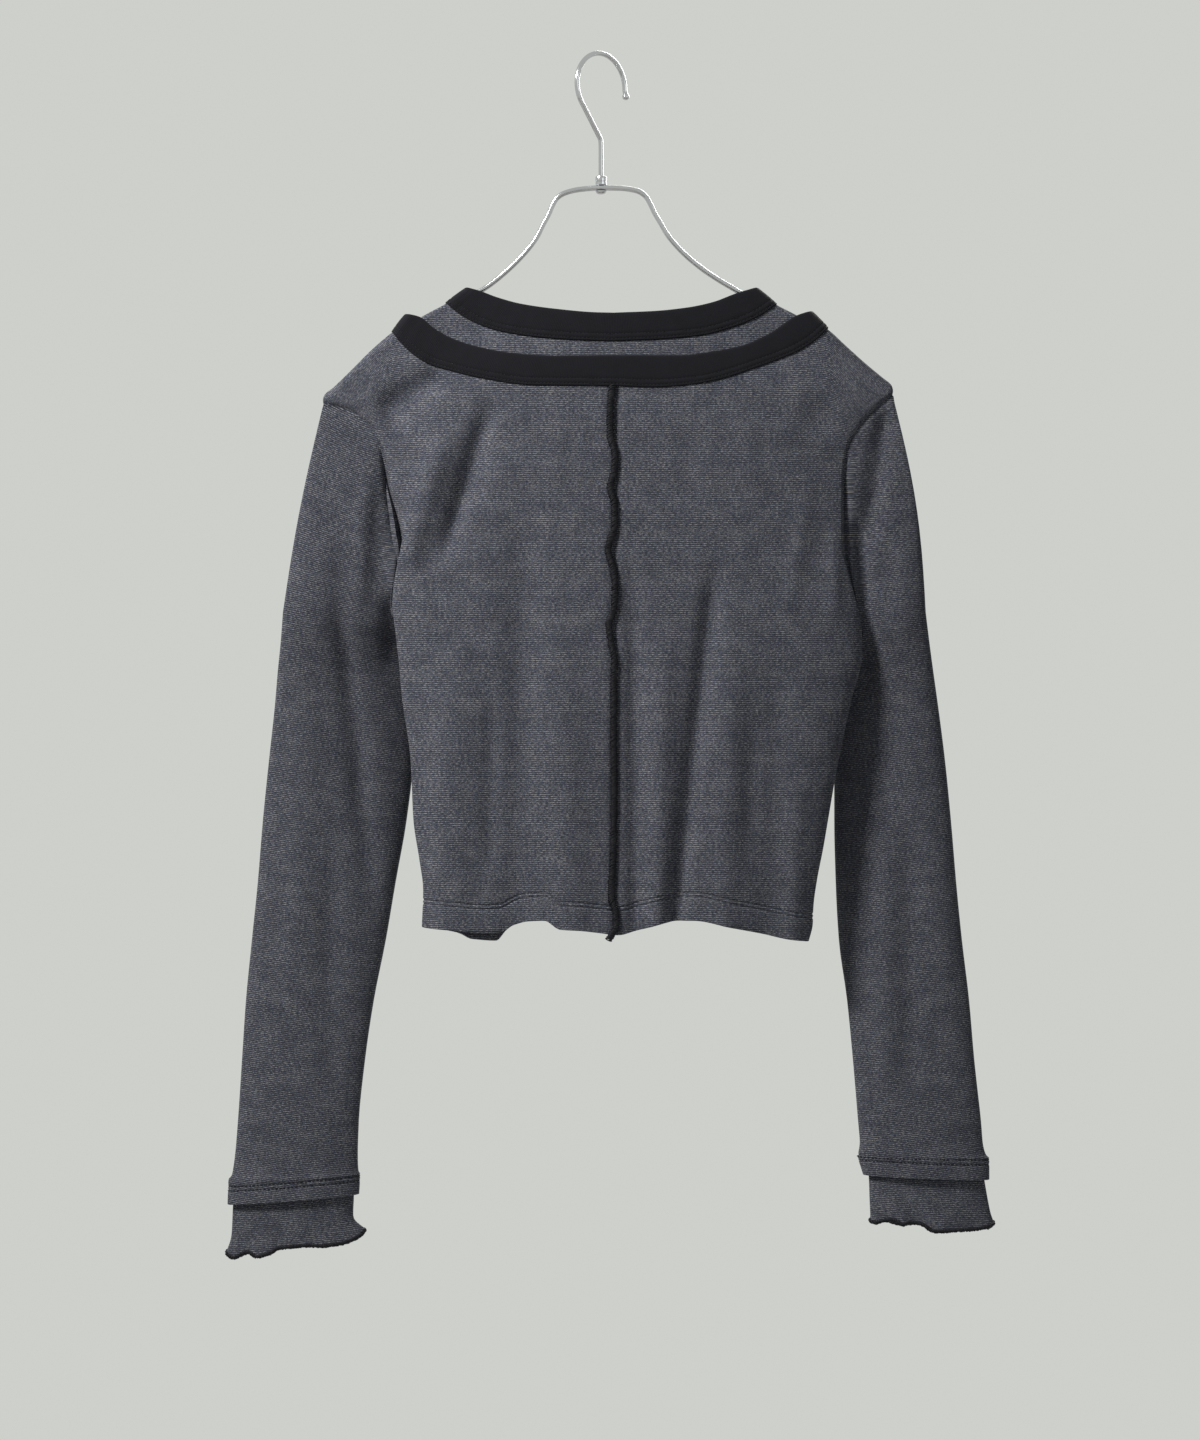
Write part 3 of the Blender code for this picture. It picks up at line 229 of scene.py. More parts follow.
# %% [markdown]
# ## Striped jersey
# Seen close, the cloth is knitted from one navy and one pale melange yarn, in rows about 1.4 mm apart. Neither
# yarn is even, so the rows break up into short flecks, some beige and some almost black. The pattern reads the
# cloth's own UV map, which is in metres: across the piece and along its rows. Stretched noise gives the flecks,
# a sine gives the rows, and slow noise gives the faint blotches.

# %% Jersey
ROW_PITCH = 0.00137
WALE_PITCH = 0.0011
# The yarns' colours from the darkest to the palest, and where each stands between them.
JERSEY_YARNS = ((0.012, 0.0145, 0.026), (0.049, 0.053, 0.069), (0.117, 0.121, 0.135), (0.30, 0.30, 0.295))
JERSEY_STOPS = (0.0, 0.42, 0.72, 1.0)


def jersey(name, shade=1.0):
    made, shader, cloth = start_finish(
        name, "UV", Roughness=0.88, Sheen_Weight=0.06, Sheen_Roughness=0.6, Specular_IOR_Level=0.25
    )
    across, along_rows, _ = cloth.parts()
    wobble = cloth.noise(60) * 0.0006
    rows = (along_rows + wobble).waves(ROW_PITCH)
    long_flecks = cloth.stretch(480, 1450).noise(1.0, 1.0)
    short_flecks = cloth.stretch(1200, 2100).noise(1.0, 1.0)
    blotches = cloth.noise(70, 3)
    bands = cloth.stretch(18, 260).noise(1.0, 2)
    tone = (long_flecks - 0.5) * 1.5 + (short_flecks - 0.5) * 1.2 + (rows - 0.5) * 0.55
    tone = (tone + (blotches - 0.5) * 0.4 + (bands - 0.5) * 0.2 + 0.46).clamp()
    # A shade below 1 darkens every yarn's colour, which is painted shade.
    stops = [(stop, tuple(shade * c for c in yarn)) for stop, yarn in zip(JERSEY_STOPS, JERSEY_YARNS)]
    colour = tone.node("ShaderNodeValToRGB", {"stops": stops}, Fac=tone)[0]
    hue = (cloth.stretch(240, 700).noise(1.0, 1.0) * 3 - 1.0).clamp()
    feed(shader, "Base Color", colour.times(hue.mix((0.92, 0.96, 1.12), (1.03, 1.0, 0.97))))
    wales = across.waves(WALE_PITCH)
    add_bump(shader, rows * 0.6 + wales * 0.3 + long_flecks * 0.8, 0.00022, 0.7)
    return made


striped_jersey = jersey("striped jersey")
# It is the same cloth. It carries a tenth of painted shade here only because the photograph shows the sleeves darker
# than these lamps do.
sleeve_jersey_with_painted_shade = jersey("striped jersey of the sleeves with painted shade", 0.9)
print("jersey rows", round(ROW_PITCH * 1000, 2), "mm apart")

# %% [markdown]
# ## Black rib, black thread
# The neck bands are a dense, nearly black rib folded over the raw edge. It is matt with fine ribs that run
# across the band. The thread on it, and the curly edges, shine a little more, because thread is twisted.

# %% Rib and thread
RIB_PITCH = 0.0012


def black_rib(name):
    made, shader, cloth = start_finish(
        name, "UV", Roughness=0.85, Sheen_Weight=0.08, Sheen_Roughness=0.5, Specular_IOR_Level=0.18
    )
    ribs = cloth.parts()[0].waves(RIB_PITCH)
    fuzz = cloth.noise(2200, 2)
    soft = cloth.noise(90, 3)
    tone = ((soft - 0.5) * 0.9 + fuzz * 0.5).clamp()
    feed(shader, "Base Color", tone.mix((0.0028, 0.0029, 0.0052), (0.0080, 0.0083, 0.0132)))
    add_bump(shader, ribs * 0.5 + fuzz * 0.8 + soft * 1.2, 0.00025, 0.7)
    return made


def thread(name, dark, light, roughness):
    made, shader, place = start_finish(name, "Object", Roughness=roughness, Specular_IOR_Level=0.25)
    twist = place.noise(1900, 2)
    feed(shader, "Base Color", twist.mix(dark, light))
    add_bump(shader, twist, 0.0001, 0.6)
    return made


rib = black_rib("black rib")
black_thread = thread("black thread", (0.0025, 0.0027, 0.0045), (0.0105, 0.0110, 0.0165), 0.6)
navy_thread = thread("navy thread", (0.0020, 0.0023, 0.0045), (0.0070, 0.0080, 0.0125), 0.7)

# %% [markdown]
# ## Chromed steel and dark buttons
# The hanger is bright chrome. Real wire has faint draw marks and a few dull smears, so its roughness varies a
# little. The buttons are satin, with a slight marbling.

# %% Steel and buttons
def chrome(name):
    made, shader, place = start_finish(name, "Object", Metallic=1.0)
    smears = place.noise(45, 3)
    fine = place.noise(900, 2)
    feed(shader, "Base Color", smears.mix((0.50, 0.51, 0.53), (0.66, 0.67, 0.68)))
    feed(shader, "Roughness", smears * 0.10 + fine * 0.05 + 0.07)
    add_bump(shader, fine, 0.00003, 0.4)
    return made


def button_finish(name):
    made, shader, place = start_finish(name, "Object", Coat_Weight=0.25, Coat_Roughness=0.2)
    marble = place.stretch(1, 1, 1.6).noise(260, 4, 0.6)
    feed(shader, "Base Color", marble.mix((0.008, 0.008, 0.011), (0.045, 0.044, 0.050)))
    feed(shader, "Roughness", marble * 0.2 + 0.28)
    add_bump(shader, place.noise(1500, 2), 0.00005, 0.4)
    return made


steel = chrome("chromed steel")
dark_button = button_finish("dark button")

# %% [markdown]
# ## The garment's measures
# A garment is drafted from lines: the ridge of the shoulders, the side seams, the armholes, the hem and the
# necklines. They are kept here in millimetres, seen from the back, as short tables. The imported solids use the
# same lines with fewer points, so what is made from them lies where the solids are. Two folds of the back and
# the sleeves' inner edges just below the underarms lie up to 13 and 5 mm from the solids' on purpose, because
# the photograph shows them there.

# %% Sizes
JERSEY_WALL = 1.2
HEM_WALL = 2.2  # the cloth is double where a hem is turned up
SEAM_GAP = 0.3  # between sewn pieces
CENTRE_X = 9  # the centre back seam hangs a little to the wearer's right of the hook
LAP = 8  # each front passes the centre by this much
LAP_FADE = 0.2  # the share of the neckline over which its points move across for that
LAP_LIFT = 2.9  # how far the upper front stands off the lower one where they lap
LAYER_DROP = 3.2  # the inner layer's face lies this far beneath the outer layer's face
YOKE_SET_BACK = 2.0  # and its low edge this much further in
CREST_HALF = 9.0  # half the depth of the shoulder's ridge over the two wires
CREST_DROP = 7.0  # the ridge reaches that depth this far below its top
HANG_HALF = {-1: 22.0, 1: 24.0}  # half the body's depth at the back and at the front
HANG_SPREAD = 22.0  # the cloth falls away from the ridge by this much
HANG_REACH = 160.0  # over this height
SIDE_ROUND = 2.6  # powers of the body's round section, at the sides
CHEST_ROUND = 3  # and between the armholes
ARMHOLE_HALF = 9.0  # half the armhole's depth
ARMHOLE_OPENS = 60.0  # which it reaches this far above the underarm
BINDING_UPRIGHT = 0.88  # over the shoulder a band keeps this share of its foot's depth
BINDING_GAP = 0.6  # between a band's foot and the cloth it is sewn to
WIRE_RADIUS = 1.6
WIRE_SPREAD = 2.4  # half the distance between the frame's two wires
ARCH_TOP_Z = -95

SIDES = ((-1, "left"), (1, "right"))
FACES = ((-1, "back"), (1, "front"))


def table(columns, *rows):
    """A short table with named columns, one row for each section, fold or point."""
    return {name: np.array([row[i] for row in rows], float) for i, name in enumerate(columns.split())}


def drawn(*points):
    """A line drawn through points."""
    return table("x z", *points)


def fold_rows(*rows):
    """Folds, each from its upper to its lower end."""
    return table("x_top z_top x_low z_low height width fade_top fade_low", *rows)

# %% Lines of the body
# The ridge of the shoulders, seen from the back. Between the two necklines it is only the line that the
# cloth would follow if it went on up to the hanger.
CREST = drawn(
    (-201, -250), (-199, -244), (-193, -239), (-180, -226.5), (-165, -211.5), (-150.3, -199),
    (-128.9, -184.5), (-111.5, -175.1), (-92, -163), (-58.5, -147), (-29.5, -137), (0, -132),
    (31.5, -135.5), (64, -144.5), (103.5, -162.5), (126.2, -175.9), (140.8, -183.4), (163, -196.6),
    (175.5, -207.9), (190, -221), (203, -231.8), (209, -236.9), (211, -243.5),
)
# Side seams, from the hem up to the underarm.
SIDE_SEAM = {
    -1: table(
        "z x",
        (-627, -129.5), (-600, -128.5), (-580, -131), (-550, -135.5), (-507, -137.5), (-463.5, -143.5),
        (-427.5, -147), (-400.5, -152.5),
    ),
    1: table(
        "z x",
        (-637.5, 150), (-625, 153), (-612, 153.5), (-593.5, 156), (-570, 160.6), (-550, 164),
        (-507, 171.5), (-463.5, 181), (-435, 188), (-414.5, 188.5),
    ),
}
# Armhole seams, from the underarm up to the shoulder point.
ARMHOLE = {
    -1: drawn(
        (-152.5, -400.5), (-152, -384.5), (-149, -366.5), (-146, -348.5), (-148.5, -330.5),
        (-152.5, -312.5), (-155, -294.5), (-158.5, -278), (-169, -264), (-183.5, -254.5), (-201, -250),
    ),
    1: drawn(
        (188.5, -414.5), (183.5, -391.5), (178, -373.5), (174, -356.5), (173.5, -334),
        (173.5, -308), (175.5, -288), (180, -276), (187, -265.5), (200, -252), (211, -243.5),
    ),
}
# Hem lines: the back's hangs in shallow waves, the front's dips on the wearer's left.
HEM = {
    -1: drawn(
        (-129.5, -627), (-124.5, -627.6), (-105, -629), (-84, -630.8), (-72.5, -630), (-62, -624.8),
        (-52.5, -622.3), (-40.5, -621.7), (-29.5, -628), (-15, -628.8), (-0.5, -630.5), (12, -632),
        (28, -628), (46, -623.5), (56, -621.7), (66, -621.7), (93, -626.8), (114.5, -631),
        (134, -635.5), (150, -637.5),
    ),
    1: drawn(
        (-129.5, -627), (-104, -632), (-94, -637), (-76, -638.3), (-68, -630), (-58, -624), (-40, -620),
        (-10, -625), (20, -626), (50, -620), (75, -619), (105, -626), (130, -634), (150, -637.5),
    ),
}

# %% Necklines
# Where each binding is sewn to its layer (foot) and its free edge (top), from the centre outwards.
OUTER_NECK = {
    (-1, -1): (
        drawn(
            (9, -239), (-47.5, -238.5), (-84, -233.5), (-106.5, -228), (-126, -221.3), (-139, -212),
            (-150.3, -199),
        ),
        drawn(
            (9, -217), (-33, -217.3), (-62.5, -215.3), (-84, -211.5), (-105, -205), (-119.5, -197),
            (-130, -188.6), (-140, -186),
        ),
    ),
    (1, -1): (
        drawn(
            (9, -239), (38, -240), (68.5, -237.5), (85.5, -234), (116.5, -223.5), (139, -214.5),
            (153, -206), (163, -196.6),
        ),
        drawn((9, -217), (56, -217), (80, -214), (100, -210), (122, -200), (140, -187.8), (151, -184)),
    ),
    (-1, 1): (
        drawn(
            (9, -274.5), (-20, -272), (-60, -263), (-95, -249), (-118, -233), (-134.5, -217),
            (-150.3, -199),
        ),
        drawn(
            (9, -252.5), (-18, -250), (-54, -241), (-86, -228), (-106, -213), (-121, -199.5),
            (-131, -189.5), (-140, -186),
        ),
    ),
    (1, 1): (
        drawn(
            (9, -274.5), (40, -271.5), (80, -261), (118, -243), (140, -226), (154, -210), (163, -196.6),
        ),
        drawn(
            (9, -252.5), (38, -249.5), (74, -239), (106, -222), (127, -206), (142, -189.5), (151, -184),
        ),
    ),
}
INNER_NECK = {
    (-1, -1): (
        drawn(
            (9, -206.5), (-9.5, -206), (-40.5, -204), (-70, -199.5), (-84, -195.3), (-99.5, -187.6),
            (-111.5, -178.3),
        ),
        drawn(
            (9, -186), (-3.5, -185.7), (-33, -183), (-57.5, -179.2), (-75, -174.2), (-86, -170),
            (-96, -167),
        ),
    ),
    (1, -1): (
        drawn((9, -206.5), (43, -205), (72.5, -202), (95, -195.8), (114, -187.6), (126.2, -179.1)),
        drawn((9, -186), (38, -184.7), (62, -182), (80, -178), (97, -171.5), (111.5, -167)),
    ),
    (-1, 1): (
        drawn((9, -240), (-20, -237), (-55, -226), (-85, -208), (-102, -192), (-111.5, -178.3)),
        drawn((9, -220), (-18, -217.5), (-48, -208), (-73, -191), (-87, -175.5), (-96, -167)),
    ),
    (1, 1): (
        drawn((9, -240), (38, -237), (72, -226), (102, -208), (118, -192), (126.2, -179.1)),
        drawn((9, -220), (36, -217.5), (66, -208), (90, -192), (103, -176), (111.5, -167)),
    ),
}

# %% Columns and rows of the body's grid
# The panels' columns: how far along the hem each one starts, and where it ends, from 0 to 1 along the
# neckline and from 1 to 2 along the shoulder.
COLUMNS = {
    -1: table(
        "hem top",
        (0, 0), (0.075, 0.12), (0.15, 0.24), (0.225, 0.36), (0.3, 0.48), (0.37, 0.6), (0.44, 0.72),
        (0.51, 0.83), (0.57, 0.91), (0.62, 0.965), (0.66, 0.988), (0.69, 0.997), (0.72, 1),
        (0.78, 1.3), (0.86, 1.62), (0.93, 1.85), (0.98, 1.96), (1, 2),
    ),
    1: table(
        "hem top",
        (0, 0), (0.07, 0.1), (0.14, 0.2), (0.26, 0.4), (0.38, 0.6), (0.48, 0.78), (0.56, 0.91),
        (0.62, 0.965), (0.66, 0.988), (0.69, 0.997), (0.72, 1), (0.78, 1.3), (0.88, 1.68), (0.97, 1.94),
        (1, 2),
    ),
}
SEAM_ROWS = (0, 0.063, 0.073, 0.18, 0.3, 0.42, 0.54, 0.66, 0.78, 0.89)  # from the hem up to the underarm
ARMHOLE_ROWS = (0, 0.11, 0.23, 0.36, 0.49, 0.62, 0.74, 0.85, 0.93, 0.975, 0.992, 1)  # and on to the shoulder
EDGE_PULL = 3  # power by which the side's and the armhole's curves fade towards the centre
UNDERARM_AT = 0.6  # the share of the panel's height that lies below the underarm

# The inner yoke's columns (0 to 1 along its neckline, 1 to 2 along its shoulder), and its rows, from its
# low edge up.
YOKE_COLUMNS = np.array([0, 0.14, 0.28, 0.42, 0.56, 0.7, 0.82, 0.91, 0.965, 0.99, 1, 1.35, 1.7, 2])
YOKE_ROWS = np.array([0, 0.3, 0.6, 0.82, 0.94, 0.98, 1])
YOKE_SHOULDER = 40  # its length along the shoulder
YOKE_LOW_Z = {-1: -256, 1: -288}
YOKE_LOW_RISE = 18  # its low edge rises by this much under the shoulder

# %% [markdown]
# ## Folds
# The cloth hangs from two wires, so its folds are long and soft and run out at the hem. Each row of the table
# is one fold: where it starts and ends, how high it stands (a negative height is a trough) and how wide it is.
# The creases after it are finer and shallower. They were read off the photograph on the back, and made up in
# the same manner for the front.

# %% Folds and creases
# Folds that hang in the cloth. A positive height stands out and a negative one is a trough; the ends
# fade over the lengths given, and 0 runs out through the hem.
FOLDS = {
    -1: fold_rows(
        (-76, -244, -116, -372, -6.2, 7, 30, 40),
        (-108, -262, -146, -382, 6.0, 11, 30, 35),
        (-124, -238, -160, -276, -3.0, 14, 20, 20),
        (-54, -283, -60, -640, -4.0, 13, 120, 0),
        (-104, -391, -108, -640, 3.5, 14, 100, 0),
        (-33, -391, -18, -640, 3.0, 13, 110, 0),
        (22, -340, 28, -640, -2.5, 7, 60, 0),
        (46, -391, 40, -640, 3.5, 9, 90, 0),
        (84, -350, 51, -640, -5.6, 7, 60, 0),
        (95, -391, 87, -640, 3.0, 11, 100, 0),
        (128, -400, 121, -640, -2.5, 12, 90, 0),
        (146, -242, 166, -280, -2.5, 14, 20, 20),
    ),
    1: fold_rows(
        (-92, -262, -130, -372, -4.5, 10, 30, 35),
        (-66, -300, -84, -645, 4.0, 13, 110, 0),
        (-38, -380, -46, -645, -3.0, 11, 90, 0),
        (-112, -420, -110, -645, -3.0, 12, 90, 0),
        (62, -330, 52, -645, -3.5, 12, 110, 0),
        (88, -300, 82, -645, 4.0, 13, 110, 0),
        (118, -380, 112, -645, -3.0, 12, 90, 0),
        (100, -262, 148, -372, -4.0, 10, 30, 35),
    ),
}

CREASES = {
    -1: fold_rows(
        (-108, -229, -162, -258, -6.0, 10, 15, 12), (-60, -262, -100, -330, -1.2, 7, 20, 25),
        (-30, -255, -34, -330, 0.9, 9, 20, 30), (60, -258, 66, -340, -1.0, 8, 20, 35),
        (100, -262, 112, -330, 0.9, 8, 20, 30), (150, -300, 132, -420, 1.3, 7, 40, 50),
        (169, -330, 167, -412, 2.2, 6, 30, 20), (-140, -330, -120, -430, 1.2, 7, 40, 40),
        (-77, -440, -80, -600, -2.6, 7, 60, 40), (24, -390, 23, -640, -1.6, 4, 60, 0),
        (8, -470, 12, -600, -0.8, 8, 60, 40), (110, -450, 106, -600, -1.8, 7, 60, 60),
        (-132, -470, -133, -640, -2.4, 8, 60, 0), (-118, -470, -119, -640, 1.4, 7, 60, 0),
        (140, -500, 138, -640, 1.2, 7, 60, 0), (70, -480, 72, -560, 0.9, 6, 40, 40),
    ),
    1: fold_rows(
        (-60, -300, -90, -380, -1.1, 8, 30, 30), (60, -320, 100, -390, -1.0, 8, 30, 30),
        (-30, -420, -34, -560, 1.0, 8, 50, 50), (40, -450, 36, -640, -1.1, 8, 60, 0),
        (-90, -470, -92, -640, 1.1, 8, 60, 0), (130, -470, 128, -640, -1.1, 8, 60, 0),
        (-140, -330, -122, -430, 1.2, 7, 40, 40), (150, -320, 134, -430, 1.2, 7, 40, 40),
    ),
}
SLEEVE_CREASES = {
    (-1, -1): fold_rows(
        (-169, -300, -172, -400, 3.0, 6, 25, 30), (-151, -380, -152, -450, -5.0, 7, 20, 30),
        (-214, -300, -208, -420, 1.2, 9, 40, 50), (-170, -470, -178, -560, -1.2, 7, 30, 40),
        (-232, -560, -236, -700, -1.0, 8, 50, 50), (-190, -640, -200, -780, 1.0, 8, 50, 40),
    ),
    (-1, 1): fold_rows(
        (-180, -300, -165, -390, -1.4, 7, 25, 40), (-180, -480, -190, -600, -1.2, 8, 40, 40),
        (-230, -620, -232, -760, 1.0, 8, 50, 50),
    ),
    (1, -1): fold_rows(
        (222, -330, 214, -440, 1.2, 9, 40, 50), (183, -325, 191, -405, -6.0, 6, 25, 30),
        (192, -400, 191, -480, -7.0, 8, 30, 50), (200, -470, 206, -560, -1.2, 7, 30, 40),
        (246, -560, 252, -700, 1.0, 8, 50, 50), (238, -650, 244, -770, -1.0, 8, 50, 40),
    ),
    (1, 1): fold_rows(
        (205, -300, 195, -390, -1.4, 7, 25, 40), (210, -480, 216, -600, -1.2, 8, 40, 40),
        (256, -620, 262, -760, 1.0, 8, 50, 50),
    ),
}

# %% Sleeve and under-cuff sections
# Sleeve sections from just below the underarm to the hem: the outer and the inner edge, and half the depth.
SLEEVE = {
    -1: table(
        "z_out x_out y_out z_in x_in y_in half wall",
        (-400.5, -229.2, 2, -411, -146.5, 12, 11, 1.4),
        (-420.5, -231, 6, -424, -143.5, 19, 12, 1.4),
        (-442, -233.5, 10, -441, -140.5, 25, 12.5, 1.4),
        (-467.5, -236, 14, -466, -135, 29, 13, 1.4),
        (-507, -240.6, 18, -507, -136.5, 31, 13.5, 1.4),
        (-550.5, -245.2, 20, -551, -141.5, 31, 13.5, 1.4),
        (-594.5, -248.8, 20, -595, -149.2, 29, 13.5, 1.4),
        (-637.5, -253.2, 20, -638, -156.4, 27, 13, 1.4),
        (-681, -257.4, 19, -681, -164.9, 25, 12.5, 1.4),
        (-724.5, -260.2, 18, -725, -171.3, 23, 12, 1.4),
        (-768, -263, 17, -768, -175.6, 21, 12, 1.4),
        (-795.5, -265.4, 17, -793, -176.4, 21, 12, 1.4),
        (-808, -267.6, 17, -805, -175.9, 21, 12.5, 1.4),
        (-811, -269.8, 17, -808, -174.6, 21, 13.3, 2.4),
        (-829, -270.6, 17, -822, -175.4, 21, 13.3, 2.4),
    ),
    1: table(
        "z_out x_out y_out z_in x_in y_in half wall",
        (-400.5, 234, 2, -427, 184.5, 12, 11, 1.4),
        (-420.5, 236.8, 6, -437, 180.5, 19, 12, 1.4),
        (-442, 240, 10, -451, 177.5, 26, 13, 1.4),
        (-467.5, 244, 15, -472.5, 172, 31, 14, 1.4),
        (-507, 249.4, 19, -507, 170, 33, 15, 1.4),
        (-550.5, 253.9, 21, -551, 170, 33, 15, 1.4),
        (-594.5, 257.6, 21, -595, 170.9, 31, 14.5, 1.4),
        (-637.5, 261.8, 20, -638, 173.1, 29, 13.5, 1.4),
        (-681, 266.9, 19, -681, 178.8, 26, 12.5, 1.4),
        (-724.5, 270.6, 18, -725, 183, 24, 12, 1.4),
        (-768, 275.3, 17, -768, 186.5, 22, 12, 1.4),
        (-785.5, 276.8, 17, -784, 187.8, 21.5, 12, 1.4),
        (-793, 279, 17, -791.5, 186.8, 21, 12.3, 1.4),
        (-796, 281.4, 17, -794.5, 186.2, 21, 13.1, 2.4),
        (-811, 281.4, 17, -808, 190.2, 20.5, 13.1, 2.4),
    ),
}
SLEEVE_CAP_BULGE = {-1: 2.2, 1: 5.0}  # how far the cap stands out between the shoulder and the first section
SLEEVE_PIT_BULGE = 1.5  # and the cloth below the underarm
SLEEVE_PIT_LEAD = 0.5  # power by which that cloth runs outwards before it falls
SLEEVE_WIDE, SLEEVE_DEEP = 40, 11  # half the width and depth of the flat section that the cap's normals follow
SLEEVE_FOLDS = {
    (-1, -1): fold_rows(
        (-193, -350, -163, -625, -4.0, 7, 60, 60),
        (-195, -562, -196, -775, -2.5, 8, 60, 60),
        (-212, -420, -222, -700, 2.0, 12, 80, 80),
    ),
    (-1, 1): fold_rows(
        (-190, -380, -195, -640, -3.5, 9, 60, 60),
        (-215, -520, -225, -760, -2.5, 8, 60, 60),
    ),
    (1, -1): fold_rows(
        (205, -252, 188, -372, -5.0, 6, 15, 50),
        (222, -520, 226, -765, -2.5, 9, 70, 60),
        (205, -560, 206, -770, 2.0, 9, 70, 60),
    ),
    (1, 1): fold_rows(
        (205, -380, 212, -640, -3.5, 9, 60, 60),
        (235, -520, 243, -760, -2.5, 8, 60, 60),
    ),
}
# Under-cuff sections, from inside the sleeve's hem down to the curly edge; wave is its share of the waves.
CUFF = {
    -1: table(
        "z_out x_out y_out z_in x_in y_in half wave",
        (-799, -262, 17.5, -794, -181, 20.5, 8.6, 0),
        (-829, -266.6, 17.5, -822, -179.2, 20.5, 9.4, 0),
        (-851, -267.6, 17.5, -838, -180, 20.5, 10.2, 0.25),
        (-864.8, -270.6, 17.5, -849.5, -174, 20.5, 11.0, 1),
    ),
    1: table(
        "z_out x_out y_out z_in x_in y_in half wave",
        (-781, 273, 17.5, -780, 192.5, 20.5, 8.6, 0),
        (-811, 277.8, 17.5, -808, 194.2, 20.5, 9.4, 0),
        (-833, 281.6, 17.5, -831, 195.2, 20.5, 10.2, 0.25),
        (-845, 284, 17.5, -842, 196.5, 20.5, 11.0, 1),
    ),
}

# %% Trim and hanger lines
# The raised trim down the centre back: it curls from side to side above and runs straight below.
TRIM = table(
    "z x",
    (-635, 5.5), (-631.5, 7.8), (-625.5, 10.8), (-616.5, 10.5), (-605, 7.5), (-595.5, 7.5), (-577.5, 8.5),
    (-550, 9), (-520, 9.2), (-490, 8.8), (-463.5, 9), (-450.5, 9), (-436.5, 9.5), (-422.5, 7),
    (-409.5, 5.5), (-399.5, 9), (-383, 10), (-368.5, 8), (-356.5, 5), (-339, 9.5), (-324, 9.5),
    (-312.5, 6.5), (-299.5, 9.5), (-289.5, 10), (-274.5, 6.5), (-255.5, 6.5), (-239.6, 8),
)
# The middle line of the hanger's frame, from the left shoulder over its arch to the right one.
FRAME = drawn(
    (-185, -238), (-181, -233.4), (-172, -225), (-158.5, -212.6), (-146.5, -204.1), (-137.3, -198),
    (-123.1, -189.8), (-108.3, -182), (-91.3, -171.6), (-82.9, -166.8), (-70.1, -156.9), (-56.8, -144.1),
    (-46.4, -131), (-41.3, -120.9), (-37.6, -114.1), (-34.9, -107.8), (-31.5, -102.2), (-25.8, -98.6),
    (-14.4, -96), (0, -95), (14.4, -95.3), (26, -97.1), (31.9, -100.8), (35.4, -106.5), (38.5, -113),
    (42.4, -119.6), (48.1, -129.2), (59.2, -141.8), (73.3, -153.6), (86.6, -162.4), (95.4, -167.6),
    (104, -172.9), (113.4, -178.4), (128.8, -186.3), (143.4, -193.3), (153, -199.5), (165.4, -208.6),
    (179.4, -219.2), (187.6, -225.8), (193, -231), (196, -234.6),
)

# %% [markdown]
# ## Reading the tables
# A table holds a few points of a line, and a mesh needs many. `smooth` reads between them with a cubic that
# never overshoots, so a straight stretch stays straight. `along` and `spaced` find points on a drawn line, and
# `finer` cuts each step of a list of shares into smaller ones.

# %% Reading
def smooth(at, keys, values):
    """Reads a column between its rows on a smooth line that never overshoots them."""
    order = np.argsort(keys)
    keys, values = np.asarray(keys, float)[order], np.asarray(values, float)[order]
    steps = np.diff(values) / np.diff(keys)
    product = steps[:-1] * steps[1:]
    total = np.where(product > 0, steps[:-1] + steps[1:], 1)
    inner = np.where(product > 0, 2 * product / total, 0)
    slopes = np.concatenate([steps[:1], inner, steps[-1:]])
    at = np.clip(at, keys[0], keys[-1])
    i = np.clip(np.searchsorted(keys, at) - 1, 0, len(steps) - 1)
    span = keys[i + 1] - keys[i]
    t = (at - keys[i]) / span
    start = (1 + 2 * t) * (1 - t) ** 2 * values[i] + t * (1 - t) ** 2 * span * slopes[i]
    end = t * t * (3 - 2 * t) * values[i + 1] + t * t * (t - 1) * span * slopes[i + 1]
    return start + end


def along(path, share):
    """Points (x, z) at these shares of the length of a table of points."""
    runs = np.hypot(np.diff(path["x"]), np.diff(path["z"]))
    marks = np.concatenate([[0], np.cumsum(runs)]) / runs.sum()
    return smooth(share, marks, path["x"]), smooth(share, marks, path["z"])


def spaced(path, count):
    """Points (x, z) at even steps along a table of points, and how far along each one lies."""
    marks = np.concatenate([[0], np.cumsum(np.hypot(np.diff(path["x"]), np.diff(path["z"])))])
    at = np.linspace(0, marks[-1], count)
    return smooth(at, marks, path["x"]), smooth(at, marks, path["z"]), at


def ease(t):
    t = np.clip(t, 0, 1)
    return t * t * (3 - 2 * t)


def unit(vectors):
    return vectors / np.maximum(np.linalg.norm(vectors, axis=-1, keepdims=True), 1e-9)


def angles_round(count):
    return np.arange(count) * 2 * math.pi / count


def finer(values, steps):
    """The same list with each of its steps cut into equal smaller ones."""
    values = np.asarray(values, float)
    return np.interp(np.arange((len(values) - 1) * steps + 1) / steps, np.arange(len(values)), values)

# %% [markdown]
# ## The form of the hanging cloth
# The body is a flattened tube that opens below the shoulder's ridge. A point of the outline, x across and z up,
# has a depth from two curves: how far the body hangs out at that height, and how fast the ridge falls away.
# The folds are then added to it. Both layers of the garment and all seams read the same form, so they meet.

# %% Form
def crest_z(x):
    return smooth(x, CREST["x"], CREST["z"])


def hem_z(x, face):
    return smooth(x, HEM[face]["x"], HEM[face]["z"])


def edge_x(side, z):
    """The body's edge at a height: its side seam, then its armhole."""
    seam, hole = SIDE_SEAM[side], ARMHOLE[side]
    below = smooth(z, seam["z"], seam["x"])
    above = smooth(z, hole["z"], hole["x"])
    return np.where(z < hole["z"][0], below, above)


